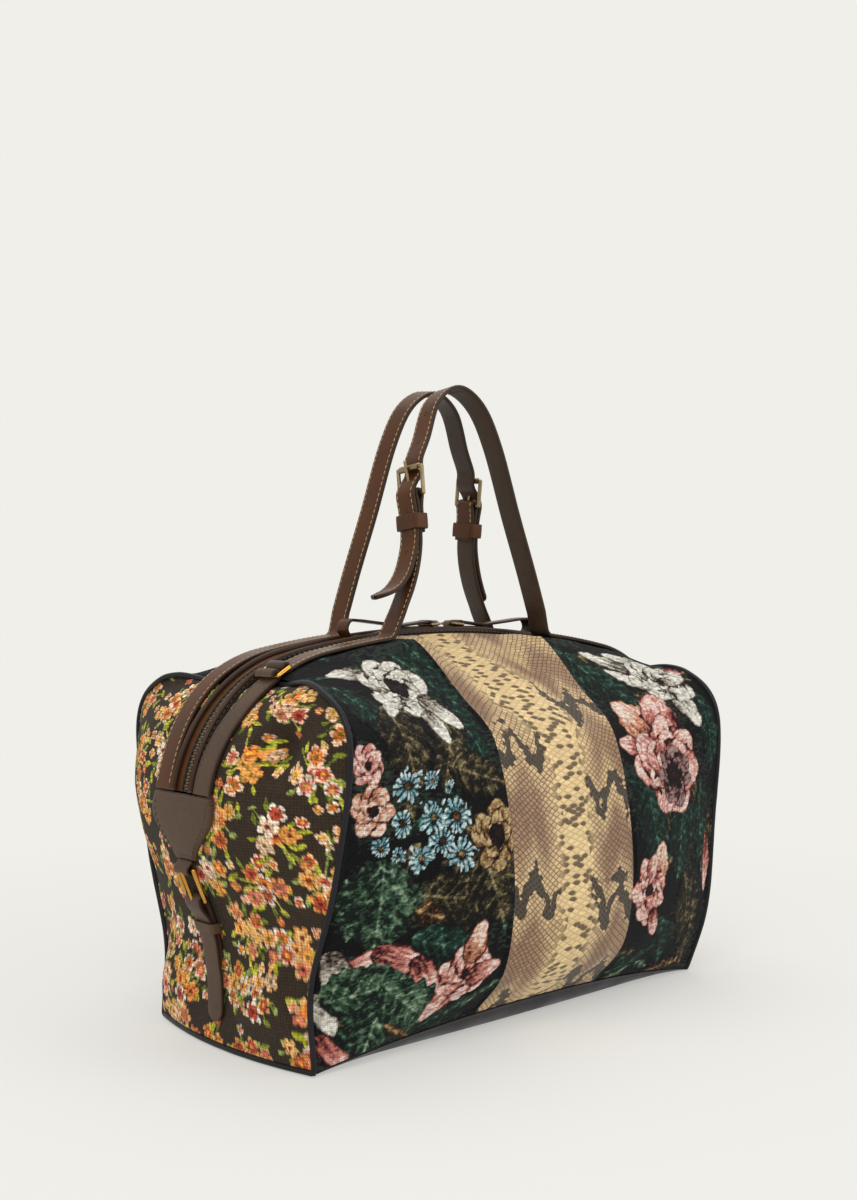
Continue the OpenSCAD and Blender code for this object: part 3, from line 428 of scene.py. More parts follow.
def along(path, values, places):
    """Values given at a path's points, read at places along its length."""
    a = arc_length(path)
    return vec(*[np.interp(places, a, values[:, k]) for k in range(values.shape[1])])


def even(path, pitch, *fields):
    """The path and its fields in even steps."""
    a = arc_length(path)
    places = np.linspace(0, a[-1], max(2, int(a[-1] / pitch)) + 1)
    return [along(path, f, places) for f in (path, *fields)]


def copies(path, out, side, places, shape, one, offset=0.0, height=0.0):
    """Points and faces of a small shape set at places along a strap; its points run along, across and out of it."""
    n, w = (unit(along(path, v, places)) for v in (out, side))
    base = along(path, path, places) + w * offset + n * height
    p = base[:, None] + shape @ np.stack([unit(np.cross(n, w)), w, n], 1)
    quads = one + len(shape) * np.arange(len(places))[:, None, None]
    return p.reshape(-1, 3), quads.reshape(-1, 4)


def stitch_row(path, out, side, offset, height, start, end):
    """Points and faces of a row of stitches: spindles of thread laid end to end along a strap's edge."""
    pitch, size, thread = (v / MM for v in (sizes().stitch_pitch, sizes().stitch_length, sizes().thread))
    places = np.arange(start + pitch / 2, arc_length(path)[-1] - end - pitch / 2, pitch)
    ring = np.linspace(0, 2 * np.pi, STITCH_SIDES, endpoint=False)
    station, girth = np.array([-0.5, -0.3, 0.3, 0.5])[:, None], np.array([0.45, 1, 1, 0.45])[:, None]
    across, up = girth * np.cos(ring) * thread / 2, girth * np.sin(ring) * thread / 2 - 0.1 * (1 - girth)
    shape = vec(station * size, across, up).reshape(-1, 3)
    return copies(path, out, side, places, shape, grid_quads(4, STITCH_SIDES, wrap_m=True), offset, height)


def stitching(name, rows, material):
    """One object from several rows of stitches."""
    shift = np.cumsum([0] + [len(p) for p, _ in rows])
    quads = join(*[q + k for (_, q), k in zip(rows, shift)])
    points = join(*[p for p, _ in rows])
    ring = np.arange(STITCH_SIDES)
    ends = [k + cap for k in range(0, len(points), 4 * STITCH_SIDES) for cap in (ring[::-1], 3 * STITCH_SIDES + ring)]
    return mesh_object(name, points, quads, ends, material=material)


def half_turn(way):
    """Factors for points and directions: way -1 turns them half round the upright axis, 1 leaves them."""
    return np.array([way, way, 1.0])


# Woven patterns

def srgb(*c):
    """A colour of 0 to 255 as linear light."""
    v = np.array(c, float) / 255
    return np.where(v <= 0.04045, v / 12.92, ((v + 0.055) / 1.055) ** 2.4)


NOISE = np.random.default_rng(7).random((256, 256))


def noise(x, y):
    """Smooth value noise of unit cells."""
    i, j = np.floor(x).astype(int), np.floor(y).astype(int)
    u, v = smooth(x - i), smooth(y - j)
    pick = lambda a, b: NOISE[a % 256, b % 256]
    return lerp(lerp(pick(i, j), pick(i + 1, j), u), lerp(pick(i, j + 1), pick(i + 1, j + 1), u), v)


YARNS = {
    "white": [(44, 27, 26), (108, 98, 86), (162, 155, 140), (206, 200, 186), (232, 228, 216)],
    "pink": [(46, 18, 21), (122, 62, 56), (186, 110, 98), (212, 150, 136), (234, 208, 196)],
    "peach": [(54, 25, 21), (138, 84, 62), (194, 130, 102), (216, 160, 132), (236, 214, 198)],
    "sage": [(18, 26, 20), (44, 70, 52), (86, 110, 86), (132, 154, 126), (176, 190, 162)],
    "fern": [(13, 17, 16), (19, 38, 32), (30, 62, 49), (58, 94, 74), (112, 142, 120)],
    "olive": [(18, 17, 14), (46, 40, 28), (84, 74, 50), (126, 114, 78), (170, 156, 112)],
    "daisy": [(16, 28, 34), (66, 104, 114), (130, 172, 180), (186, 214, 216), (230, 240, 236)],
    "maroon": [(18, 11, 13), (40, 18, 22), (64, 28, 32), (104, 66, 66), (160, 130, 122)],
    "ochre": [(28, 16, 13), (62, 41, 25), (106, 78, 48), (156, 124, 82), (196, 170, 124)],
}
INK, FLECK = np.array([srgb(11, 11, 13)]), srgb(40, 50, 42)
GROUND_LEAVES = 26


class Weave:
    """A flat picture in yarn: each motif lays its yarns over what is there, in dithered steps like a jacquard."""

    def __init__(self, flat, ground):
        self.x, self.y = flat[..., 0].ravel(), flat[..., 1].ravel()
        self.colour = np.repeat(ground, len(self.x), axis=0)
        self.height = np.zeros(len(self.x))
        fine = noise(self.x / 1.5 + 31, self.y / 1.0 + 17)
        coarse = noise(self.x / 3.6 + 5, self.y / 2.4 + 3)
        self.grain = smooth((0.65 * fine + 0.35 * coarse - 0.18) / 0.64)

    def axes(self, cx, cy, angle, reach):
        """Points near a place, with their distances along and across a direction there, and a slow ripple."""
        i = np.nonzero((np.abs(self.x - cx) < reach) & (np.abs(self.y - cy) < reach))[0]
        c, s = np.cos(np.radians(angle)), np.sin(np.radians(angle))
        dx, dy = self.x[i] - cx, self.y[i] - cy
        ripple = noise(self.x[i] / 4.5 + cx, self.y[i] / 4.5 + cy) - 0.5
        return i, dx * c + dy * s, dy * c - dx * s, ripple

    def lay(self, i, inside, tone, yarn, height=0.45, dither=1.9):
        """Yarns from dark to light by tone, stippled by the grain."""
        table = np.array([srgb(*c) for c in YARNS[yarn]])
        j = i[inside]
        level = tone[inside] * len(table) + (self.grain[j] - 0.5) * dither
        self.colour[j] = table[np.clip(level, 0, len(table) - 1).astype(int)]
        self.height[j] = height

    def leaf(self, cx, cy, angle, length, width, yarn, veins=8.0):
        """A ragged leaf: sine-arched toothed sides, a midrib and slanted side veins, flecked between them."""
        i, a, b, ripple = self.axes(cx, cy, angle, length * 0.7 + 2)
        t = a / length + 0.5
        arch = np.sin(np.pi * np.clip(t, 0, 1) ** 0.85) ** 0.7
        half = width / 2 * arch * (1 + 0.07 * np.sin(t * 40)) * (1 + 0.45 * ripple)
        rib = np.abs(((a - np.abs(b) * 0.8) / veins + 0.5 * ripple) % 1 - 0.5) * 2
        q = np.abs(b) / np.maximum(half, 0.1)
        tone = 0.3 + 0.34 * rib**5 + 0.3 * np.exp(-(b**2)) + 0.5 * ripple - 0.3 * q**4 - 0.12 * (b > 0)
        self.lay(i, (t > 0) & (t < 1) & (q < 1), tone, yarn)

    def petal(self, cx, cy, angle, length, width, yarn, base=0.22):
        """A petal: broad towards its tip, dark at its root and outline, streaked along its length."""
        i, a, b, ripple = self.axes(cx, cy, angle, length * 0.7 + 2)
        t = a / length + 0.5
        arch = np.sin(np.pi * np.clip(t, 0, 1) ** 0.7) ** 0.6
        half = width / 2 * arch * (1 + 0.4 * ripple)
        q = np.abs(b) / np.maximum(half, 0.1)
        streak = noise(a / 10 + cx, b / 1.7 + cy) - 0.5
        tone = base + (0.86 - base) * smooth(t * 1.25) + 0.5 * streak - 0.7 * smooth((q - 0.74) / 0.26)
        tone = tone - 0.6 * smooth((t - 0.93) / 0.07)
        self.lay(i, (t > 0) & (t < 1) & (q < 1), tone, yarn)

    def rose(self, cx, cy, r, yarn, turn=0.0, squeeze=1.0, eye=0.24):
        """A full rose: three rings of overlapping petals about a dark eye."""
        rng = np.random.default_rng(int(abs(cx) * 7 + abs(cy) * 13))
        rings = ((0.58, 0.84, 0.95, 7), (0.36, 0.66, 0.72, 6), (0.19, 0.44, 0.46, 5))
        for ring, (out, long, wide, count) in enumerate(rings):
            for k in range(count):
                angle = turn + 360 * (k + 0.5 * ring) / count + rng.normal(0, 9)
                c, s = np.cos(np.radians(angle)), np.sin(np.radians(angle))
                length, width = long * r * rng.uniform(0.85, 1.15), wide * r * rng.uniform(0.85, 1.15)
                self.petal(cx + out * r * c, cy + out * r * s * squeeze, angle, length, width, yarn, 0.04)
        i, a, b, ripple = self.axes(cx, cy, turn, r)
        q = np.hypot(a, b / squeeze) / r * (1 + 0.6 * ripple)
        self.lay(i, q < eye, 0.16 + 0.5 * ripple, "maroon")

    def daisy(self, cx, cy, r, petals=13):
        """A daisy: separate short strokes about an ochre eye."""
        i, a, b, ripple = self.axes(cx, cy, 0, r + 1)
        q, th = np.hypot(a, b) / r * (1 + 0.9 * ripple), np.arctan2(b, a) + cx + 0.5 * ripple
        lobe = np.abs(np.cos(petals * th / 2))
        strokes = (q > 0.36) & (q < 0.78 + 0.22 * lobe) & (lobe > 0.5)
        self.lay(i, strokes, 0.2 + 0.62 * q * lobe, "daisy", dither=2.2)
        self.lay(i, q < 0.26, 0.3 + 0.6 * ripple, "ochre")


# Motifs of the flower panels: kind, place as x and length down from the zip, then angle or size
LEFT_FLOWERS = [
    ("leaf", -88, 78, 60, 74, 40, "fern"), ("leaf", -84, 128, 75, 60, 34, "fern"),
    ("leaf", -176, 104, 70, 54, 34, "fern"), ("leaf", -150, 134, 80, 66, 44, "olive"),
    ("leaf", -110, 140, 110, 60, 36, "olive"), ("leaf", -88, 160, 20, 56, 34, "olive"),
    ("leaf", -106, 242, 10, 74, 50, "olive"), ("leaf", -82, 236, 70, 64, 40, "olive"),
    ("leaf", -118, 274, 20, 52, 36, "fern"), ("leaf", -190, 246, 80, 44, 16, "sage"),
    ("petal", -158, 62, 190, 36, 20, "white"), ("petal", -144, 98, 125, 36, 18, "white"),
    ("petal", -112, 118, 75, 40, 18, "white"), ("rose", -124, 80, 34, "white", 50, 0.85, 0.3),
    ("petal", -98, 108, 60, 42, 24, "white"), ("rose", -187, 147, 15, "pink", 20),
    ("rose", -181, 177, 18, "peach", 60, 1.1), ("daisy", -152, 161, 12), ("daisy", -130, 184, 10.5),
    ("daisy", -111, 186, 12), ("daisy", -156, 187, 8.5), ("daisy", -124, 201, 9.5),
    ("daisy", -108, 212, 11.5), ("daisy", -140, 211, 9), ("daisy", -130, 160, 6), ("daisy", -172, 203, 7),
    ("daisy", -116, 165, 4.5), ("daisy", -90, 205, 6), ("daisy", -158, 208, 5),
    ("rose", -78, 204, 22, "ochre", 20, 1.25, 0.3), ("leaf", -168, 242, 90, 64, 58, "sage", 9.0),
    ("leaf", -132, 250, 20, 24, 16, "ochre"), ("petal", -172, 284, -30, 44, 20, "pink"),
    ("petal", -146, 281, 18, 48, 20, "pink"), ("petal", -128, 296, 55, 40, 18, "pink"),
    ("petal", -190, 292, 80, 34, 22, "white"), ("petal", -192, 322, 70, 30, 20, "white"),
    ("leaf", -168, 304, -20, 60, 40, "sage"), ("leaf", -160, 334, 100, 52, 40, "sage"),
    ("leaf", -134, 318, 40, 62, 42, "sage"), ("leaf", -138, 338, 35, 32, 7, "ochre"),
    ("petal", -186, 348, 40, 34, 18, "pink"), ("leaf", -92, 330, -20, 60, 18, "fern"),
    ("leaf", -74, 322, -40, 34, 14, "sage"), ("petal", -112, 318, 120, 38, 20, "pink"),
    ("rose", -98, 298, 23, "pink", -60, 1.0, 0.16), ("petal", -92, 276, -70, 32, 20, "peach"),
    ("petal", -82, 300, -15, 30, 18, "pink"),
]
RIGHT_FLOWERS = [
    ("leaf", 96, 88, 60, 80, 46, "fern"), ("leaf", 110, 60, 10, 46, 20, "olive"),
    ("leaf", 186, 140, 85, 70, 26, "fern"), ("leaf", 100, 216, 80, 76, 46, "fern"),
    ("leaf", 140, 226, 100, 66, 40, "fern"), ("leaf", 176, 226, 80, 70, 26, "fern"),
    ("leaf", 160, 290, 70, 76, 40, "olive"), ("leaf", 130, 314, 60, 60, 26, "fern"),
    ("leaf", 100, 330, -30, 56, 20, "fern"), ("leaf", 178, 320, 80, 50, 22, "olive"),
    ("petal", 120, 62, 205, 54, 18, "white"), ("petal", 134, 88, 215, 60, 17, "white"),
    ("petal", 146, 56, 195, 44, 18, "white"), ("petal", 166, 120, 60, 40, 24, "white"),
    ("rose", 162, 88, 33, "white", 30, 0.9, 0.12), ("petal", 188, 74, 60, 18, 12, "pink"),
    ("petal", 100, 128, 235, 46, 40, "peach"), ("petal", 130, 124, 285, 44, 40, "pink"),
    ("petal", 84, 150, 190, 26, 18, "pink"), ("rose", 128, 168, 43, "pink", 65, 0.95, 0.2),
    ("rose", 134, 176, 24, "maroon", 20, 1.1, 0.4), ("petal", 106, 246, 285, 40, 26, "peach"),
    ("rose", 92, 264, 24, "pink", 80, 1.3, 0.2), ("petal", 104, 292, 60, 28, 16, "pink"),
    ("petal", 190, 252, 85, 54, 14, "pink"), ("leaf", 146, 346, -14, 56, 12, "ochre"),
    ("leaf", 168, 342, -24, 36, 9, "ochre"), ("leaf", 92, 344, -40, 26, 9, "sage"),
    ("leaf", 120, 338, 20, 24, 10, "sage"),
]


def paint_flowers(flat, motifs, seed):
    """Black ground with sparse dark leaves, then the large motifs in order; bare ground is flecked, all streaked."""
    w = Weave(flat, INK)
    rng = np.random.default_rng(seed)
    low, high = [flat[..., 0].min(), 10], [flat[..., 0].max(), flat[..., 1].max()]
    for x, y in rng.uniform(low, high, (GROUND_LEAVES, 2)):
        angle, length, width = rng.uniform(0, 180), rng.uniform(22, 46), rng.uniform(10, 24)
        w.leaf(x, y, angle, length, width, rng.choice(["fern", "olive"]))
    w.height *= 0.6
    for kind, x, y, *rest in motifs:
        getattr(w, kind)(x, y, *rest)
    flecks = noise(w.x / 3.4 + 80, w.y / 1.1 + 40) * noise(w.x / 30, w.y / 30 + 9)
    w.colour[(w.height == 0) & (flecks > 0.36)] = FLECK
    streak = 0.62 + 0.74 * noise(w.x / 3.2, w.y / 0.9 + 3)
    return w.colour * streak[:, None], w.height + 0.3 * (w.grain - 0.5)


PETALS = [
    (222, 124, 56), (232, 156, 78), (238, 184, 116), (190, 76, 54), (214, 118, 94), (242, 202, 170),
    (238, 228, 208),
]
STEMS = [(168, 170, 46), (118, 128, 42), (146, 158, 84), (186, 182, 62)]
EYES = [(120, 44, 26), (226, 170, 56), (128, 112, 38)]
# Step between clusters of sprigs, and the turn from one stem of a cluster to the next
SPRIG_STEP, GOLDEN = 47.0, 2.4
SPRIG_GROUND = np.array([srgb(56, 45, 34)])


class Sprigs(Weave):
    """Small flowers, buds and leaves in clusters over a dark woven ground."""

    def patch(self, i, inside, rgb, spread):
        """One yarn colour, a little lighter and darker by the grain."""
        j = i[inside]
        self.colour[j] = srgb(*rgb) * (1 + spread * (self.grain[j] - 0.5))[:, None]
        self.height[j] = 0.2

    def leaflet(self, cx, cy, angle, length, width, rgb):
        """A slim pointed leaf; very slim, it is a stretch of stem."""
        i, a, b, _ = self.axes(cx, cy, np.degrees(angle), length * 0.7 + 1)
        t = a / length + 0.5
        half = width / 2 * np.sin(np.pi * np.clip(t, 0, 1)) ** 0.8
        self.patch(i, (t > 0) & (t < 1) & (np.abs(b - 0.1 * length * (t - 0.5) ** 2) < half), rgb, 0.9)

    def flower(self, cx, cy, r, petals, turn, rgb, rim, eye):
        """Parted petals, paler at their rims, about a small dark eye."""
        i, a, b, ripple = self.axes(cx, cy, 0, r * 1.2)
        q, th = np.hypot(a, b) / r * (1 + 0.35 * ripple), np.arctan2(b, a) + turn
        lobe = np.abs(np.cos(petals * th / 2))
        edge = 0.62 + 0.38 * lobe**0.7
        whole = (q < edge) & ((lobe > 0.22) | (q < 0.4))
        self.patch(i, whole, rgb, 0.8)
        self.patch(i, whole & (q > edge - 0.3) & (lobe > 0.45), rim, 0.6)
        self.patch(i, q < 0.24, eye, 1.0)


def polar(cx, cy, reach, turn):
    """The place at a distance and in a direction from another."""
    return cx + reach * np.cos(turn), cy + reach * np.sin(turn)


def paint_sprigs(flat, seed):
    """Clusters of small flowers, each on a fan of stems and leaves, with ground between the clusters."""
    w = Sprigs(flat, SPRIG_GROUND)
    rng = np.random.default_rng(seed)
    step = SPRIG_STEP
    lo, hi = flat.reshape(-1, 2).min(0), flat.reshape(-1, 2).max(0)
    columns, rows = np.arange(lo[0], hi[0] + step, step), np.arange(lo[1], hi[1] + step, step * 0.87)
    spots = np.array([(x + (k % 2) * step / 2, y) for k, y in enumerate(rows) for x in columns])
    for cx, cy in spots + rng.normal(0, 5, spots.shape):
        lean = rng.uniform(0, 2 * np.pi)
        for k in range(13):
            turn, reach = lean + GOLDEN * k + rng.normal(0, 0.3), rng.uniform(11, 24)
            x, y = polar(cx, cy, reach, turn)
            stem = STEMS[rng.integers(len(STEMS))]
            w.leaflet((cx + x) / 2, (cy + y) / 2, turn, reach, 1.5, stem)
            w.leaflet(x, y, turn + rng.normal(0, 0.7), rng.uniform(6, 11), rng.uniform(2.4, 4.6), stem)
        for k in range(rng.integers(5, 8)):
            turn, reach = lean + GOLDEN * k, 1 + 6.4 * np.sqrt(k) + rng.normal(0, 1)
            main = PETALS[rng.choice([0, 0, 1, 1, 2, 3, 3, 4, 5])]
            rim = PETALS[rng.choice([1, 2, 2, 5, 5, 6])]
            w.flower(*polar(cx, cy, reach, turn), rng.uniform(5.6, 8.4), rng.integers(5, 7), rng.uniform(0, 6),
                     main, rim, EYES[rng.integers(3)])
        for k in range(3):
            turn, reach = rng.uniform(0, 6.28), rng.uniform(20, 26)
            w.flower(*polar(cx, cy, reach, turn), rng.uniform(3, 4.4), 4, turn, PETALS[rng.integers(5)],
                     PETALS[rng.integers(4, 7)], EYES[1])
    return w.colour * (0.92 + 0.3 * w.grain)[:, None], w.height + 0.15 * (w.grain - 0.5)


BELLY_LINE = [
    (0, -22), (49, -14), (104, -4), (146, 7), (183, 3), (244, 0), (272, 6), (308, -1), (380, -8),
]
SCALE_WIDTH, SCALE_LENGTH = 3.9, 3.3


def paint_snakeskin(flat):
    """Print of a snake's flank: a pale belly lane between rows of brown saddles, parted by dark zigzags.
    Gives a colour, how far each place takes dark scales, the belly share, and scale-cell coordinates."""
    x, a = flat[..., 0], flat[..., 1]
    line = np.array(BELLY_LINE, float)
    d = x - np.interp(a, line[:, 0], line[:, 1])
    off = np.abs(d)
    wide = 25 + 12 * np.exp(-(((a - 90) / 46) ** 2))
    soft = (noise(x / 16 + 9, a / 16) - 0.5) * 12
    belly = smooth((wide + soft - off) / 14)
    # the left flank's zigzags lie at other lengths than the right flank's
    start, pitch = np.where(d < 0, 32.0, 28.0), np.where(d < 0, 107.0, 77.0)
    saw = 13 * (np.abs((x / 31 + 0.35) % 1 - 0.5) * 4 - 1)
    turn = ((a - start + saw) / pitch + 0.5) % 1 - 0.5
    ragged = (noise(x / 9 + 3, a / 9 + 8) - 0.5) * 22
    zigzag = np.exp(-(((turn * pitch + ragged) / 9) ** 2)) * smooth((off - wide * 0.5) / 12)
    zigzag = zigzag * smooth((a - 62) / 24)
    cream, tan, brown = srgb(236, 208, 154), srgb(222, 190, 142), srgb(160, 126, 98)
    saddle = smooth(np.abs(turn) * 3.2 - 0.25) * smooth((off - wide * 0.8) / 16)
    mottle = 0.75 + 0.5 * noise(x / 20 + 40, a / 24)
    colour = lerp(tan, brown, np.clip(saddle * mottle, 0, 1)[..., None])
    colour = lerp(colour, cream, belly[..., None])
    # scales are larger on the belly: across it, distance runs more slowly
    across = d - 10 * np.tanh(d / 19)
    return colour, np.clip(zigzag, 0, 1), belly, vec(across / SCALE_WIDTH, a / SCALE_LENGTH)


# Materials

def material(name, rough=0.5, **values):
    """A material with its shader, output and node tree ready for more nodes."""
    m = bpy.data.materials.new("bag_" + name)
    m.use_nodes = True
    shader = m.node_tree.nodes["Principled BSDF"]
    shader.inputs["Roughness"].default_value = rough
    for key, value in values.items():
        shader.inputs[key.replace("_", " ")].default_value = value
    return m, m.node_tree, shader


def node(tree, kind, links=None, **settings):
    """Adds a node; links maps its inputs to sockets or values."""
    n = tree.nodes.new(kind)
    for key, value in settings.items():
        setattr(n, key, value)
    for key, value in (links or {}).items():
        if isinstance(value, bpy.types.NodeSocket):
            tree.links.new(value, n.inputs[key])
        else:
            n.inputs[key].default_value = value
    return n


def attribute(tree, name, output):
    """Reads a value or colour that the mesh carries."""
    return node(tree, "ShaderNodeAttribute", attribute_name=name).outputs[output]


def coords(tree, kind, scale, turn=0.0):
    """Object or UV coordinates, scaled and turned."""
    source = node(tree, "ShaderNodeTexCoord").outputs[kind]
    return node(tree, "ShaderNodeMapping", {0: source, 2: (0, 0, turn), 3: scale}).outputs[0]


def math_node(tree, op, a, b):
    """One sum on sockets or numbers."""
    return node(tree, "ShaderNodeMath", {0: a, 1: b}, operation=op).outputs[0]


def times(tree, a, b):
    """The product of sockets or numbers."""
    return math_node(tree, "MULTIPLY", a, b)


def mix(tree, share, a, b, blend="MIX"):
    """Mixes two colours."""
    n = node(tree, "ShaderNodeMix", data_type="RGBA", blend_type=blend)
    for key, value in ((0, share), (6, a), (7, b)):
        if isinstance(value, bpy.types.NodeSocket):
            tree.links.new(value, n.inputs[key])
        else:
            n.inputs[key].default_value = value if key == 0 else (*value, 1)
    return n.outputs[2]


def ramp(tree, value, low, high):
    """Greys over a value, between two stops of place and brightness."""
    n = node(tree, "ShaderNodeValToRGB", {0: value})
    for stop, (at, grey) in zip(n.color_ramp.elements, (low, high)):
        stop.position = at
        stop.color = (grey, grey, grey, 1)
    return n.outputs[0]


def bump(tree, height, strength, distance):
    """A bump from a height."""
    return node(tree, "ShaderNodeBump", {"Height": height, "Strength": strength, "Distance": distance}).outputs[0]


def feed(tree, shader, **sockets):
    """Links sockets to the shader's inputs; a key has underscores for spaces."""
    for key, socket in sockets.items():
        tree.links.new(socket, shader.inputs[key.replace("_", " ")])


def noise_tex(tree, vector, scale, detail=3.0):
    """Noise on given coordinates."""
    return node(tree, "ShaderNodeTexNoise", {"Vector": vector, "Scale": scale, "Detail": detail}).outputs[0]


def wave_tex(tree, vector, scale, way, **values):
    """Waves on given coordinates, run one way."""
    links = {"Vector": vector, "Scale": scale} | {key.replace("_", " "): value for key, value in values.items()}
    return node(tree, "ShaderNodeTexWave", links, bands_direction=way).outputs[1]


def make_woven(name, rib, waver, rough, sheen):
    """Cloth whose yarn colours come with the mesh, with ribs of yarn in fine bump and shade."""
    m, t, s = material(name, rough, Sheen_Weight=sheen, Sheen_Roughness=0.6, Specular_IOR_Level=0.1)
    uv = coords(t, "UV", (1, 1, 1))
    ribs = wave_tex(t, uv, rib, "Y", Distortion=waver, Detail=2.0, Detail_Scale=3.0)
    picks = wave_tex(t, uv, rib * 0.9, "X", Distortion=waver * 1.3, Detail=1.0, Detail_Scale=4.0)
    fuzz = noise_tex(t, coords(t, "UV", (90, 160, 1)), 1.0, 4.0)
    weave = math_node(t, "ADD", times(t, ribs, picks), fuzz)
    shade = ramp(t, weave, (0.3, 0.62), (1.2, 1.2))
    colour = mix(t, 1.0, attribute(t, "yarn", "Color"), shade, "MULTIPLY")
    feed(t, s, Base_Color=colour, Normal=bump(t, weave, 0.55, 0.0007))
    return m


def make_snakeskin(name):
    """Printed skin: small pale diamond scales with dark gaps, dark scales in the zigzags, spots along the belly."""
    m, t, s = material(name, 0.4, Specular_IOR_Level=0.3)
    common = {"Vector": coords(t, "UV", (1, 1, 1), np.radians(45)), "Scale": 1.0, "Randomness": 0.25}
    scale, edges = (node(t, "ShaderNodeTexVoronoi", common, voronoi_dimensions="2D", feature=feature)
                    for feature in ("F1", "DISTANCE_TO_EDGE"))
    rim = edges.outputs[0]
    chance = node(t, "ShaderNodeSeparateColor", {0: scale.outputs["Color"]}).outputs[0]
    base, belly, zigzag = attribute(t, "print", "Color"), attribute(t, "belly", "Fac"), attribute(t, "blotch", "Fac")
    body = mix(t, 1.0, base, ramp(t, chance, (0.0, 0.8), (1.0, 1.08)), "MULTIPLY")
    edge = ramp(t, rim, (0.04, 1.0), (0.15, 0.0))
    edge_tone = mix(t, belly, srgb(74, 52, 36), srgb(204, 168, 118))
    body = mix(t, times(t, edge, 0.8), body, edge_tone)
    take = math_node(t, "SUBTRACT", zigzag, times(t, chance, 0.55))
    inner = math_node(t, "SUBTRACT", 1.0, times(t, edge, 0.3))
    dark = times(t, ramp(t, take, (0.0, 0.0), (0.1, 1.0)), inner)
    body = mix(t, times(t, dark, 0.96), body, srgb(34, 30, 29))
    flank_side = times(t, belly, math_node(t, "SUBTRACT", 1.25, belly))
    few = math_node(t, "LESS_THAN", chance, times(t, flank_side, 1.15))
    spot = ramp(t, scale.outputs["Distance"], (0.46, 1.0), (0.58, 0.0))
    spot = times(t, spot, times(t, few, belly))
    body = mix(t, times(t, spot, 0.85), body, srgb(62, 44, 31))
    feed(t, s, Base_Color=body, Normal=bump(t, ramp(t, rim, (0.0, 0.0), (0.25, 1.0)), 0.7, 0.0006))
    return m


def make_leather(name, face, edge, lining, rough, wear):
    """Leather by side: waxed face, painted edge and plain lining, with grain, mottling and a bump of wear."""
    m, t, s = material(name, rough, Specular_IOR_Level=0.2)
    where = coords(t, "Object", (1, 1, 1))
    side = attribute(t, "finish", "Fac")
    cloud, fine = noise_tex(t, where, 38.0, 4.0), noise_tex(t, where, 260.0, 3.0)
    tone = ramp(t, math_node(t, "ADD", times(t, cloud, 0.7), times(t, fine, 0.3)), (0.3, 0.72), (0.7, 1.22))
    top, back = (mix(t, 1.0, colour, tone, "MULTIPLY") for colour in (face, lining))
    body = mix(t, ramp(t, side, (0.2, 0.0), (0.7, 1.0)), edge, top)
    body = mix(t, ramp(t, times(t, side, -1.0), (0.2, 0.0), (0.6, 1.0)), body, back)
    cells = node(t, "ShaderNodeTexVoronoi", {"Vector": where, "Scale": 1150.0}, feature="F1").outputs[0]
    height = math_node(t, "ADD", cells, times(t, noise_tex(t, where, 90.0, 5.0), wear))
    gloss = ramp(t, cloud, (0.3, rough - 0.08), (0.7, rough + 0.12))
    feed(t, s, Base_Color=body, Normal=bump(t, height, 0.22, 0.0004), Roughness=gloss)
    return m


def make_metal(name, colour, rough):
    """Plated metal with faint brushed scratches."""
    m, t, s = material(name, rough, Metallic=1.0)
    scratch = noise_tex(t, coords(t, "Object", (400, 400, 90)), 1.0, 2.0)
    stain = noise_tex(t, coords(t, "Object", (1, 1, 1)), 120.0, 3.0)
    body = mix(t, 1.0, colour, ramp(t, stain, (0.3, 0.82), (0.7, 1.06)), "MULTIPLY")
    gloss = ramp(t, scratch, (0.2, rough - 0.06), (0.8, rough + 0.12))
    feed(t, s, Base_Color=body, Roughness=gloss, Normal=bump(t, scratch, 0.06, 0.0002))
    return m


def make_thread(name, colour):
    """Twisted thread, its colour darker and lighter in bands along the twist: painted shade and highlight of its
    plies.
    """
    m, t, s = material(name, 0.6, Sheen_Weight=0.2)
    twist = wave_tex(t, coords(t, "Object", (1, 1, 1)), 900.0, "DIAGONAL")
    # the colour is multiplied by the twist's bands: painted shade in the grooves between plies and painted highlight
    # on their crowns
    body = mix(t, 1.0, colour, ramp(t, twist, (0.0, 0.6), (1.0, 1.1)), "MULTIPLY")
    feed(t, s, Base_Color=body, Normal=bump(t, twist, 0.3, 0.0002))
    return m


# Sizes and colours that a user may change

def length_property(name, words, size):
    """A length that the user sees as such."""
    return FloatProperty(name=name, description=words, default=size, unit="LENGTH")


class BagSizes(PropertyGroup):
    """Sizes of the finish."""

    cloth_pitch: length_property("Cloth pitch", "Step between woven points", 0.0009)
    stitch_pitch: length_property("Stitch pitch", "Step between stitches", 0.0046)
    stitch_length: length_property("Stitch length", "Length of a stitch", 0.0032)
    thread: length_property("Thread", "Thickness of the thread", 0.0008)
    stitch_inset: length_property("Stitch inset", "Stitches in from the edge", 0.0022)
    tooth_pitch: length_property("Tooth pitch", "Step between zip teeth", 0.0021)


def colour_property(name, words, rgb):
    """A colour that the user sees as such."""
    return FloatVectorProperty(name=name, description=words, subtype="COLOR", size=3, min=0, max=1,
                               default=tuple(srgb(*rgb)))


class BagColours(PropertyGroup):
    """Colours of leather, metal and thread."""

    brown: colour_property("Brown leather", "Outer face of the handles", (80, 44, 16))
    lining: colour_property("Strap lining", "Inner face of the straps", (66, 51, 38))
    edge: colour_property("Edge paint", "Painted edge of the straps", (50, 34, 23))
    taupe: colour_property("Taupe leather", "End straps, tabs and belts", (84, 64, 49))
    black: colour_property("Black leather", "Base and piping", (30, 28, 32))
    thread: colour_property("Thread", "Stitching on brown leather", (196, 168, 122))
    dark_thread: colour_property("Dark thread", "Stitching on taupe leather", (70, 58, 48))
    gold: colour_property("Gold", "Rings and end buckles", (204, 152, 70))
    pale_gold: colour_property("Pale gold", "Handle buckles and zip", (150, 132, 102))
    paper: colour_property("Background", "Floor and backdrop", (240, 239, 234))


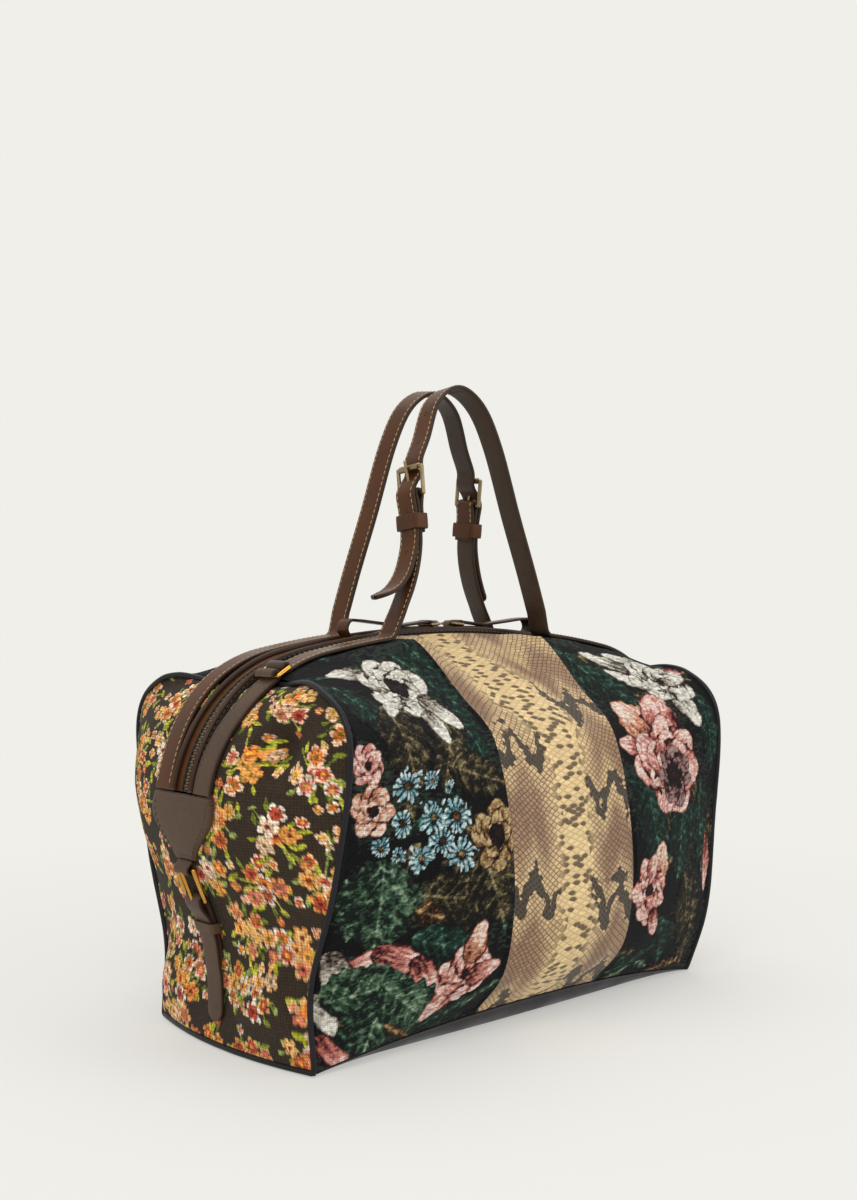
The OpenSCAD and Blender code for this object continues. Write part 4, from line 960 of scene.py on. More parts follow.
def sizes():
    """The scene's sizes of the finish."""
    return bpy.context.scene.bag_sizes


def colours():
    """The scene's colours of the finish."""
    return bpy.context.scene.bag_colours


def finish(name):
    """A material by name, made on first use."""
    if "bag_" + name in bpy.data.materials:
        return bpy.data.materials["bag_" + name]
    c = colours()
    # near-black colour of the hole discs: painted shadow of the punched holes' depth
    hole_shadow_colour = srgb(18, 12, 9)
    make, *values = {
        "flower_jacquard": (make_woven, 24.0, 2.2, 0.9, 0.04),
        "sprig_cloth": (make_woven, 15.0, 0.5, 0.85, 0.05),
        "snakeskin_print": (make_snakeskin,),
        "brown_leather": (make_leather, c.brown, c.edge, c.lining, 0.32, 0.5),
        "taupe_leather": (make_leather, c.taupe, c.edge, c.taupe, 0.42, 0.5),
        "black_leather": (make_leather, c.black, c.black, c.black, 0.36, 0.3),
        "punched_hole": (make_leather, hole_shadow_colour, hole_shadow_colour, hole_shadow_colour, 0.7, 0.2),
        "tan_thread": (make_thread, c.thread),
        "dark_thread": (make_thread, c.dark_thread),
        "zip_tape": (make_thread, srgb(54, 40, 28)),
        "fibre_board": (make_thread, srgb(120, 96, 70)),
        "gold": (make_metal, c.gold, 0.2),
        "pale_gold": (make_metal, c.pale_gold, 0.28),
        "zip_metal": (make_metal, srgb(112, 100, 84), 0.4),
    }[name]
    return make(name, *values)


# Cloth

def puff(flat, lift):
    """How far a cloth grid moves out: by the pile's height and by soft hollows and puckers, none at its rim."""
    x, a = flat[..., 0], flat[..., 1]
    broad = 3.2 * (noise(x / 62 + 5, a / 74 + 11) - 0.5) + 1.4 * (noise(x / 24 + 60, a / 30) - 0.5)
    u, v = (np.linspace(0, 1, k) for k in x.shape)
    rim = np.minimum(np.minimum(u, 1 - u)[:, None] * 30, np.minimum(v, 1 - v)[None, :] * 60)
    return broad * smooth(rim) + lift.reshape(x.shape) * smooth(rim * 3)


def sheet_facts(p, cut=None):
    """Measures a cloth piece's cut size over the grid before the pile was raised, where no cut is given."""
    if cut is None:
        cut = [np.linalg.norm(np.diff(p, axis=k), axis=-1).sum(k).max() for k in (0, 1)]


def cloth_panel(name, p, flat, lift, look, slot, cad, uv, cut=None, **layers):
    """One cloth piece on the bag's body, its grid moved out along its normals; layers are what its mesh carries."""
    n = normals_of(p)
    middle = n[n.shape[0] // 2, n.shape[1] // 2]
    way = -1 if middle @ (p.reshape(-1, 3).mean(0) * [1, 1, 0]) < 0 else 1
    shaped = p + way * n * puff(flat, lift)[..., None]
    obj = mesh_object(name, shaped, grid_quads(*p.shape[:2])[:, ::way], uv=uv, material=finish(look), **layers)
    fit(obj, "bag", slot, cad)
    sheet_facts(p, cut)


class BAG_OT_flower_panels(Operator):
    """Woven flower panels, left and right, front and back"""

    bl_idname = "bag.flower_panels"
    bl_label = "Flower panels"

    def execute(self, context):
        motifs = {"left": LEFT_FLOWERS, "right": RIGHT_FLOWERS}
        for part, other in (("left", "right"), ("right", "left")):
            p, flat = front_grid(part, sizes().cloth_pitch / MM)
            for face, way, seen, seed in (("front", 1, part, 11), ("back", -1, other, 12)):
                colour, lift = paint_flowers(flat * [way, 1], motifs[seen], seed)
                cloth_panel(f"{face}_cloth_{part}", p * [1, way, 1], flat, lift, "flower_jacquard", "jacquard",
                            f"{face}_panel_{part}", flat / 100, colours={"yarn": colour})
        return {"FINISHED"}


class BAG_OT_centre_bands(Operator):
    """Snakeskin-print bands, front and back"""

    bl_idname = "bag.centre_bands"
    bl_label = "Centre bands"

    def execute(self, context):
        p, flat = front_grid("band", sizes().cloth_pitch / MM)
        for face, way in (("front", 1), ("back", -1)):
            colour, blotch, belly, cells = paint_snakeskin(flat * [way, 1])
            cloth_panel(face + "_skin", p * [1, way, 1], flat, np.zeros(flat.shape[:2]), "snakeskin_print",
                        "python_band", face + "_band", cells, values={"blotch": blotch, "belly": belly},
                        colours={"print": colour})
        return {"FINISHED"}


class BAG_OT_end_cloths(Operator):
    """Small-flowered ends"""

    bl_idname = "bag.end_cloths"
    bl_label = "End cloths"

    def execute(self, context):
        pitch = 1.1 * sizes().cloth_pitch / MM
        for name, side, seed in (("left", -1, 21), ("right", 1, 22)):
            p = end_grid(side, pitch)
            z = p[..., 2]
            over = ZS + SHOULDER_R * np.arcsin(np.clip((z - ZS) / SHOULDER_R, -1, 1))
            flat = vec(p[..., 1], np.where(z > ZS, over, z))
            colour, lift = paint_sprigs(flat, seed)
            cloth_panel("end_cloth_" + name, p * [-side, 1, 1], flat, lift, "sprig_cloth", "end_cloth",
                        "end_panel_" + name, flat / 100, np.ptp(flat.reshape(-1, 2), axis=0),
                        colours={"yarn": colour})
        return {"FINISHED"}


class BAG_OT_base_and_piping(Operator):
    """Leather base and the piping round each end"""

    bl_idname = "bag.base_and_piping"
    bl_label = "Base and piping"

    def execute(self, context):
        self.base()
        for name, side in (("left", -1), ("right", 1)):
            self.piping(name, side)
        return {"FINISHED"}

    def base(self):
        """Flat in the middle, with long edges that curl up to the panels; a leather skin of its own thickness."""
        u = np.linspace(-1, 1, 120)[:, None]
        q = join(np.linspace(-1, -0.8, 16), np.linspace(-0.78, 0.78, 20), np.linspace(0.8, 1, 16))[None, :]
        k = section_keys(u * HALF_BASE)[..., 6, :]
        y = q * k[..., 0]
        reach = np.where(np.abs(q) > 0.85, HALF_BASE, foot_x(y)) - SEAM
        curl = np.maximum(0, (np.abs(y) - k[..., 0] + BASE_CURL) / BASE_CURL) ** 2
        z = (k[..., 1] - GAP - BASE_T + 2.0 * np.abs(q) ** 24) * curl
        low = vec(u * reach, y, z)
        obj = slab("base_leather", low, low + [0, 0, BASE_T], finish("black_leather"), -1)
        fit(obj, "bag", "black_leather", "base_panel")

    def piping(self, name, side):
        """A covered cord from the zip down the front seam, round the foot and up the back seam."""
        s = np.linspace(0.04, 5.8, 90)
        q = seam_point(side, s)
        wall = vec(-seam_x(s), -q[:, 0], q[:, 1] - sink(s))
        corner = [[-HALF_BASE, -BASE_HALF + 0.4, FOOT_Z + 0.8], [-foot_x(BASE_HALF - 3), 3 - BASE_HALF, FOOT_Z]]
        y = -np.linspace(BASE_HALF - 6, 0, 30)
        half = join(wall, corner, vec(-foot_x(y), y, FOOT_Z))
        path = join(half, half[-2::-1] * [1, -1, 1])
        path = spline(path, np.linspace(0, len(path) - 1, 3 * len(path)))
        path = even(path, 2.0)[0] * [-side, 1, 1]
        t = unit(np.gradient(path, axis=0))
        a = unit(np.array([1.0, 0, 0]) - t * t[:, :1])
        ring = np.linspace(0, 2 * np.pi, 14, endpoint=False)[None, :, None]
        r = PIPE_R * (1 + 0.05 * (noise(arc_length(path) / 9, 0 * t[:, 0] + side) - 0.5))
        rim = np.cos(ring) * a[:, None] + np.sin(ring) * np.cross(t, a)[:, None]
        p = path[:, None] + r[:, None, None] * rim
        n, m = p.shape[:2]
        caps = [np.arange(m)[::-1], (n - 1) * m + np.arange(m)]
        obj = mesh_object("piping_cord_" + name, p, grid_quads(n, m, wrap_m=True), caps,
                          values={"finish": np.ones((n, m))}, material=finish("black_leather"))
        fit(obj, "bag", "black_leather", "piping_" + name)


# Straps and handles

def shoulder_pt(phi):
    """Underside of a strap on the left shoulder."""
    r = SHOULDER_R + LIFT
    return vec(-XS - r * np.cos(phi), ZS + r * np.sin(phi))


def crown_pt(theta):
    """Underside of a strap on the crown, left of the middle."""
    r = CROWN_R + LIFT
    return vec(-r * np.sin(theta), CROWN_C + r * np.cos(theta))


def run_line(phi, foot, beta):
    """Middle line of a strap from the shoulder at angle phi, along the crown and up into its handle leg."""
    a = np.arcsin((foot + 8) / CROWN_R)
    p = crown_pt(a)
    q = np.array([-foot + HALF_T * np.sin(beta), HINGE_Z - HALF_T * np.cos(beta)])
    t = (p[1] + np.tan(a) * (q[0] - p[0]) - q[1]) / (np.sin(beta) - np.tan(a) * np.cos(beta))
    c = q + t * np.array([np.cos(beta), np.sin(beta)])
    s = c - BEND_R * np.tan((beta - a) / 2) * np.array([np.cos(a), np.sin(a)])
    o = s + BEND_R * np.array([-np.sin(a), np.cos(a)])
    g = np.linspace(a, beta, 12)[1:]
    b = np.arcsin(-s[0] / (CROWN_R + LIFT))
    under = join(shoulder_pt(np.linspace(phi, np.pi / 2 - CROWN_ANGLE, 60)),
                 crown_pt(np.linspace(CROWN_ANGLE, b, 40))[1:], o + BEND_R * vec(np.sin(g), -np.cos(g)))
    return under + HALF_T * left_of(under)


LEG_KEYS = np.array([(0, 0), (0.35, 0.5), (0.68, 0.83), (1, 1)])


def leg_mid(t):
    """Middle line of the buckled leg's sweep, a share t of the way up it."""
    return lerp(-BUCKLE_FOOT, LEG_X - FOLD_X, np.interp(t, LEG_KEYS[:, 0], LEG_KEYS[:, 1]))


def tail_key(t, d):
    """A point of the strap's tail, a share t of the way up the leg's sweep and d clear of the leg."""
    return leg_mid(t) - FOLD_T / 2 - GAP - HALF_T - d, t * LEG_TOP


def long_keys(back):
    """Keys of the plain strap: up its leg, over the arch, through the buckle; the back's tail hangs by its leg."""
    top, outer = BUCKLE_HEIGHT + BUCKLE_LENGTH, LEG_X - LOOP_R - FOLD_T / 2 - GAP - HALF_T
    tail = [(0.77, 0.9), (0.48, 1.3), (0.15, 1.5)] if back else [(0.81, 1.4), (0.53, 4), (0.32, 11), (0.2, 24)]
    return [
        (LONG_FOOT, 0), (LONG_FOOT - 9, HANDLE_RISE * 0.19), (LONG_FOOT - 22, HANDLE_RISE * 0.44),
        (40, HANDLE_RISE * 0.75), (24, HANDLE_RISE - 13), (0, HANDLE_RISE), (-24, HANDLE_RISE - 13),
        (LEG_X + 14, top + 24), (LEG_X + 5, top + 7), (LEG_X + 4.4, top - 2),
        (LEG_X + 2.6, BUCKLE_HEIGHT + BUCKLE_LENGTH * 0.68), (LEG_X - 2.6, BUCKLE_HEIGHT + BUCKLE_LENGTH * 0.4),
        (outer, BUCKLE_HEIGHT + 1), (outer + 0.4, BUCKLE_HEIGHT - 6), (LEG_X + TAIL_X - 0.2, BUCKLE_HEIGHT - 15),
        (LEG_X + TAIL_X, LEG_TOP + 4), *[tail_key(t, d) for t, d in tail],
    ]


SHORT_KEYS = [(leg_mid(t), t * LEG_TOP) for t in LEG_KEYS[:, 0]] + [
    (LEG_X - FOLD_X, BUCKLE_HEIGHT - 20), (LEG_X - FOLD_X, BUCKLE_HEIGHT - 10), (LEG_X - LOOP_R, BUCKLE_HEIGHT),
]
FOLD_KEYS = [
    (LEG_X + LOOP_R, BUCKLE_HEIGHT), (LEG_X + FOLD_X, BUCKLE_HEIGHT - 10), (LEG_X + FOLD_X, BUCKLE_HEIGHT - 20),
    (LEG_X + FOLD_X, BUCKLE_HEIGHT - FOLD_LENGTH),
]


def strap_frame(line, y, left):
    """Space path, outer direction and width direction of a strap drawn as x and height over the turning line.
    Above that line the strap leans with its handle. left says which side of the line is the outer face."""
    n = left_of(line) * (1 if left else -1)
    h = line[:, 1]
    lean = HANDLE_LEAN * smooth((h + 6) / 12)
    rise = HINGE_Z + np.where(h > 0, h * np.cos(HANDLE_LEAN), h)
    path = vec(line[:, 0], y + np.maximum(h, 0) * np.sin(HANDLE_LEAN), rise)
    out = vec(n[:, 0], n[:, 1] * np.sin(lean), n[:, 1] * np.cos(lean))
    return path, unit(out), vec(0.0, np.cos(lean), -np.sin(lean))


def run_y(x_left):
    """Distance of a strap from the zip's middle plane: closer at the end tab."""
    phi = np.arccos(np.clip((-x_left - XS) / SHOULDER_R, 0, 1))
    return lerp(TAB_Y, HINGE_Y, smooth((phi - TAB_PHI) / (np.radians(58) - TAB_PHI)))


def long_strap(back):
    """The front's plain strap: from the right tab over the shoulder, up the handle and through the buckle."""
    run = run_line(TAB_PHI + 0.004, LONG_FOOT, LONG_BETA)
    low = run * [-1, 1] - [0, HINGE_Z]
    high = curve(long_keys(back), 10)
    high = high[high[:, 1] > low[-1, 1] + 2] if low[-1, 1] > 0 else high
    y = join(-run_y(run[:, 0]), np.full(len(high), -HINGE_Y))
    flat = even(join(join(low, high), y[:, None], axis=1), 1.6)[0]
    return strap_frame(flat[:, :2], flat[:, 2], left=False)


def short_strap():
    """The front's buckle strap: from the ring over the crown, up to the buckle, round its bar and down its fold."""
    phi = RING_PHI + EYE_TURN
    low = join(ring_curl(phi, -1), run_line(phi, BUCKLE_FOOT, BUCKLE_BETA)) - [0, HINGE_Z]
    turn = np.radians(np.linspace(15, 165, 11))
    loop = vec(LEG_X - LOOP_R * np.cos(turn), BUCKLE_HEIGHT + LOOP_R * np.sin(turn))
    line = even(join(low, curve(SHORT_KEYS, 10), loop, curve(FOLD_KEYS, 8)), 1.2)[0]
    return strap_frame(line, -HINGE_Y, left=True)


def ring_curl(phi, way):
    """The turn of a strap's end round the ring's bar at angle phi, as x and height."""
    r = SHOULDER_R + LIFT + EYE_LIFT
    c = np.array([-XS - r * np.cos(phi), ZS + r * np.sin(phi)])
    down = np.array([np.cos(phi), -np.sin(phi)])
    over = np.array([np.sin(phi), np.cos(phi)]) * way
    g = np.radians(np.linspace(250, 12, 20))[:, None]
    return c + (EYE_LIFT - HALF_T) * (np.cos(g) * down + np.sin(g) * over)


def end_strap():
    """The strap between the left end's tab and the shoulder ring, its end turned round the ring."""
    under = shoulder_pt(np.linspace(TAB_PHI + 0.004, RING_PHI - EYE_TURN, 50))
    line = join(under + HALF_T * left_of(under), ring_curl(RING_PHI - EYE_TURN, 1)[::-1])
    flat = even(join(line - [0, HINGE_Z], -run_y(line[:, 0])[:, None], axis=1), 1.2)[0]
    return strap_frame(flat[:, :2], flat[:, 2], left=True)


def edge_rows(path, out, side, width, height, start=4.0, end=4.0):
    """Rows of stitches along both edges of a strap's outer face."""
    inset = width / 2 - sizes().stitch_inset / MM
    return [stitch_row(path, out, side, k * inset, height, start, end) for k in (-1, 1)]


def hole_shadow_discs(name, path, out, side, places, height):
    """Punched holes, drawn as shallow near-black cups laid on the strap's face: painted shadow in place of the holes'
    depth.
    """
    sides = 18
    ring = np.linspace(0, 2 * np.pi, sides, endpoint=False)
    radius, depth = np.array([1.75, 1.45, 1.2])[:, None], np.array([0.02, 0.14, -0.1])[:, None]
    shape = vec(radius * np.cos(ring), radius * np.sin(ring), depth).reshape(-1, 3)
    p, quads = copies(path, out, side, places, shape, grid_quads(3, sides, wrap_m=True), height=height)
    caps = [k + 2 * sides + np.arange(sides) for k in range(0, len(p), 3 * sides)]
    return mesh_object(name, p, quads, caps, values={"finish": np.ones(len(p))}, material=finish("punched_hole"))


def bend_between(obj):
    """Bakes the piece's transform into its mesh."""
    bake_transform(obj)


class BAG_OT_straps(Operator):
    """Handle straps with their runs on the bag, stitching and punched holes drawn as discs of painted shadow"""

    bl_idname = "bag.straps"
    bl_label = "Straps"

    def execute(self, context):
        brown, tan = finish("brown_leather"), finish("tan_thread")
        for face, way in (("front", 1), ("back", -1)):
            handle, turn = face + "_handle", half_turn(way)
            long, short, end = ([v * turn for v in strap]
                                for strap in (long_strap(face == "back"), short_strap(), end_strap()))
            long_rows = edge_rows(*long, STRAP_W, HALF_T + 0.12)
            short_rows = edge_rows(*short, STRAP_W, FOLD_T / 2 + 0.12, start=14)
            pieces = [
                sweep("plain_strap_" + face, *long, STRAP_W, STRAP_T, brown, taper=7.0),
                sweep("buckled_strap_" + face, *short, STRAP_W - 0.2, FOLD_T, brown),
                stitching("plain_strap_seams_" + face, long_rows, tan),
                stitching("buckled_strap_seams_" + face, short_rows, tan),
            ]
            for piece, kind in zip(pieces, ("long", "buckle")):
                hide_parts(f"{kind}_run_{face}", f"{kind}_strap_{face}")
            for piece in pieces:
                bend_between(piece)
            leather = sweep("end_strap_leather_" + face, *end, STRAP_W, STRAP_T, finish("taupe_leather"))
            fit(leather, "bag", "taupe_leather", "end_strap_" + face)
            rows = edge_rows(*end, STRAP_W, HALF_T + 0.1, end=16)
            fit(stitching("end_strap_seams_" + face, rows, finish("dark_thread")), "bag")
            self.holes(face, handle, long)
            self.keeper(face, handle, turn)
        return {"FINISHED"}

    def holes(self, face, handle, long):
        """Holes on the tail below the keeper and on the arch above the buckle, drawn as discs of painted shadow."""
        path = long[0]
        length = arc_length(path)
        top = int(path[:, 2].argmax())
        tall = (path[:, 2] - HINGE_Z) / np.cos(HANDLE_LEAN)
        above = BUCKLE_HEIGHT + BUCKLE_LENGTH
        marks = [BUCKLE_HEIGHT - 14, BUCKLE_HEIGHT - 46, above + 20, above + 44]
        places = [length[top + int(np.abs(tall[top:] - m).argmin())] for m in marks]
        fit(hole_shadow_discs("strap_holes_" + face, *long, np.sort(places), HALF_T + 0.22), handle)

    def keeper(self, face, handle, turn):
        """A loop of leather round the strap's layers below the buckle."""
        a = LEG_X + TAIL_X - HALF_T - GAP - KEEPER_WALL / 2
        b = LEG_X + FOLD_X + FOLD_T / 2 + GAP + KEEPER_WALL / 2
        ring = rounded_loop((b - a) / 2, STRAP_W / 2 + GAP + KEEPER_WALL / 2, 1.6, 60) + [(a + b) / 2, 0]
        away, origin = loop_out(ring), handle_space(0, 0, 0)
        path = handle_space(ring[:, 0], ring[:, 1], LEG_TOP + 9 + KEEPER_HEIGHT / 2)
        out = handle_space(away[:, 0], away[:, 1], 0) - origin
        side = np.tile(handle_space(0, 0, 1) - origin, (len(ring), 1))
        obj = sweep("keeper_loop_" + face, *[v * turn for v in (path, out, side)], KEEPER_HEIGHT, KEEPER_WALL,
                    finish("brown_leather"), closed=True, radius=0.6, crown=0.15)
        fit(obj, handle, "brown_leather", "keeper_" + face)


def rounded_loop(half_a, half_b, r, count):
    """A rectangle with rounded corners, in even steps."""
    corners = []
    for k, (ka, kb) in enumerate(((1, 1), (-1, 1), (-1, -1), (1, -1))):
        g = np.linspace(0, np.pi / 2, 7) + k * np.pi / 2
        corners.append(vec(ka * (half_a - r) + r * np.cos(g), kb * (half_b - r) + r * np.sin(g)))
    p = join(*corners)
    p = join(p, p[:1])
    return along(p, p, np.linspace(0, arc_length(p)[-1], count, endpoint=False))


def loop_out(ring):
    """Unit directions out of a closed plane loop, square to its chords."""
    d = np.roll(ring, -1, axis=0) - np.roll(ring, 1, axis=0)
    n = unit(vec(d[:, 1], -d[:, 0]))
    return n * np.sign((n * (ring - ring.mean(0))).sum(-1).mean())


def handle_space(x, w, v):
    """Points of the front handle's plane in the bag's frame: x along the bag, w across the strap, v up the handle."""
    c, s = np.cos(HANDLE_LEAN), np.sin(HANDLE_LEAN)
    return vec(x, -HINGE_Y + v * s + w * c, HINGE_Z + v * c - w * s)


# End tabs and belts

def on_end(z, d):
    """A point at height z, d outside the left end's middle line, as x and height."""
    return np.array([-(float(end_x(np.array(z))) + d), z])


TAB_END = TAB_TOP - GAP - TAB_LENGTH
BAR_IN = WIRE / 2 + GAP
CHAPE_R = BAR_IN + BELT_T
PIVOT_Z = TAB_END - GAP - CHAPE_R - 1.5
PIVOT = np.array([-(float(end_x(np.array(PIVOT_Z))) + GAP + CHAPE_R + 1.5), PIVOT_Z])
TURN_R = BAR_IN + BELT_T / 2
LOW = GAP + 0.2 + BELT_T / 2
HIGH = LOW + BELT_T + GAP + 0.2
OUTER_Z = PIVOT_Z - END_BUCKLE


def belt_line():
    """Middle line of the end belt: up from its sewn start, over the buckle's outer bar and down as a free tail."""
    keeper_z, sewn = lerp(BELT_START, OUTER_Z, 0.5), BELT_START - 14
    slope = np.arctan2(float(end_x(np.array(OUTER_Z + 3)) - end_x(np.array(OUTER_Z - 3))), 6)
    out, up = np.array([-np.cos(slope), -np.sin(slope)]), np.array([-np.sin(slope), np.cos(slope)])
    bar = on_end(OUTER_Z, LOW) + TURN_R * out
    rise = [on_end(lerp(BELT_START, OUTER_Z, t), LOW) for t in (0, 0.35, 0.7, 1)]
    g = np.radians(np.linspace(12, 168, 12))[:, None]
    down = [(keeper_z + 6, HIGH + 0.4), (keeper_z - 5, HIGH), (lerp(keeper_z, BELT_START, 0.6), HIGH),
            (BELT_START - 4, HIGH), (sewn, LOW + 1.4), (lerp(sewn, BELT_TIP, 0.5), LOW + 0.6), (BELT_TIP, LOW + 0.6)]
    fall = [bar + TURN_R * out, bar + TURN_R * out - 5 * up, *[on_end(z, d) for z, d in down]]
    return join(curve(rise, 8), bar + TURN_R * (np.sin(g) * up - np.cos(g) * out), curve(fall, 8))


def flat_frame(line, left=True):
    """Path, outer and width directions of a strap that lies in the bag's middle plane."""
    n = left_of(line) * (1 if left else -1)
    return upright(line), upright(n), np.tile([0.0, 1.0, 0.0], (len(line), 1))


class BAG_OT_end_belts(Operator):
    """Shield tabs, buckle chapes, belts and keepers on both ends"""

    bl_idname = "bag.end_belts"
    bl_label = "End belts"

    def execute(self, context):
        for name, way in (("left", 1), ("right", -1)):
            for build in (self.tab, self.belt, self.chape, self.keeper):
                build(name, half_turn(way))
        return {"FINISHED"}

    def tab(self, name, turn):
        """A padded shield with rounded edges, a row of stitches inside its rim and a seam across its head."""
        t = np.linspace(0, 1, 56)[:, None]
        q = np.linspace(-1, 1, 61)[None, :]
        head = TAB_HALF * (1 + 0.06 * np.sin(np.pi * np.minimum(1, t * 1.7)))
        wide = lerp(head, TAB_FOOT / 2, smooth(t * 0.98) ** 2.2)
        y, z = q * wide, TAB_TOP - GAP - TAB_LENGTH * t + 0 * q
        foot = end_x(z) + GAP + 0.5 - 1.2 * (y / TAB_HALF) ** 2
        rim = np.minimum((1 - np.abs(q)) * wide, np.minimum(t, 1 - t) * TAB_LENGTH)
        swell = np.sqrt(np.clip(1 - (1 - np.minimum(rim / 1.6, 1)) ** 2, 0, 1))
        groove = 0.5 * np.exp(-(((t * TAB_LENGTH - 4.5) / 0.7) ** 2))
        outer = vec(-(foot + 0.6 + (TAB_T - 0.6) * swell - groove + 0.4 * smooth(rim / 14)), y, z)
        obj = slab("shield_tab_" + name, outer * turn, vec(-foot, y, z) * turn, finish("taupe_leather"))
        fit(obj, "bag", "taupe_leather", "end_tab_" + name)
        across, up = [0.0, 1, 0], [0.0, 0, 1]
        lines = ((outer[6:52, 4], across), (outer[6:52, 56], across), (outer[51, 5:56], up))
        rows = [stitch_row(*[v * turn for v in np.broadcast_arrays(line, [-1.0, 0, 0], side)], 0, 0.12, 1, 1)
                for line, side in lines]
        fit(stitching("shield_seams_" + name, rows, finish("dark_thread")), "bag")

    def belt(self, name, turn):
        """The belt with its stitched edges, tongue tip and holes, the holes drawn as discs of painted shadow."""
        line = even(belt_line(), 1.0)[0]
        f = [v * turn for v in flat_frame(line)]
        obj = sweep("belt_leather_" + name, *f, BELT_W, BELT_T, finish("taupe_leather"), taper=9.0)
        fit(obj, "bag", "taupe_leather", "end_belt_" + name)
        bar = arc_length(f[0])[line[:, 1].argmax()]
        rows = edge_rows(*f, BELT_W, BELT_T / 2 + 0.1, start=bar + 8, end=11)
        fit(stitching("belt_seams_" + name, rows, finish("dark_thread")), "bag")
        fit(hole_shadow_discs("belt_holes_" + name, *f, np.array([bar + 46, bar + 70]), BELT_T / 2 + 0.2), "bag")

    def chape(self, name, turn):
        """A short strap from under the shield round the buckle's pivot bar."""
        g = np.radians(np.linspace(205, -25, 18))
        top, back = (on_end(TAB_END - 0.6, GAP + d) for d in (3.2, 1.4))
        line = join([top], PIVOT + TURN_R * vec(np.cos(g), -np.sin(g)), [back])
        f = [v * turn for v in flat_frame(even(line, 0.8)[0], left=False)]
        obj = sweep("chape_leather_" + name, *f, BELT_W - 1, 1.6, finish("taupe_leather"), radius=0.5, crown=0.05)
        fit(obj, "bag", "taupe_leather", "end_chape_" + name)

    def keeper(self, name, turn):
        """A loop of leather over both layers of the belt."""
        z = lerp(BELT_START, OUTER_Z, 0.5)
        a, b = on_end(z, LOW - BELT_T / 2 - 0.1), on_end(z, HIGH + BELT_T / 2 + GAP)
        d, axis, middle = unit(on_end(z + 5, 0) - on_end(z - 5, 0)), unit(b - a), (a + b) / 2
        deep, wide = np.linalg.norm(b - a) / 2 + KEEPER_WALL / 2, BELT_W / 2 + GAP + KEEPER_WALL / 2
        ring = rounded_loop(deep, wide, 1.4, 56)
        path, out = (vec(r[:, 0] * axis[0], r[:, 1], r[:, 0] * axis[1]) for r in (ring, loop_out(ring)))
        f = path + [middle[0], 0, middle[1]], out, np.tile([d[0], 0, d[1]], (len(ring), 1))
        obj = sweep("belt_keeper_" + name, *[v * turn for v in f], 8.0, 1.5, finish("taupe_leather"), closed=True,
                    radius=0.5, crown=0.1)
        fit(obj, "bag", "taupe_leather", "end_keeper_" + name)


# Zip

def zip_line(d):
    """The zip's line, d above its arcs, from the left tab to the right tab, as x and height."""
    g = np.linspace(TAB_PHI + 0.006, np.pi / 2 - CROWN_ANGLE, 120)
    side = vec(-XS - (SHOULDER_R + d) * np.cos(g), ZS + (SHOULDER_R + d) * np.sin(g))
    c = np.linspace(CROWN_ANGLE, 0, 80)[1:]
    crown = vec(-(CROWN_R + d) * np.sin(c), CROWN_C + (CROWN_R + d) * np.cos(c))
    half = join(side, crown)
    return join(half, half[-2::-1] * [-1, 1])


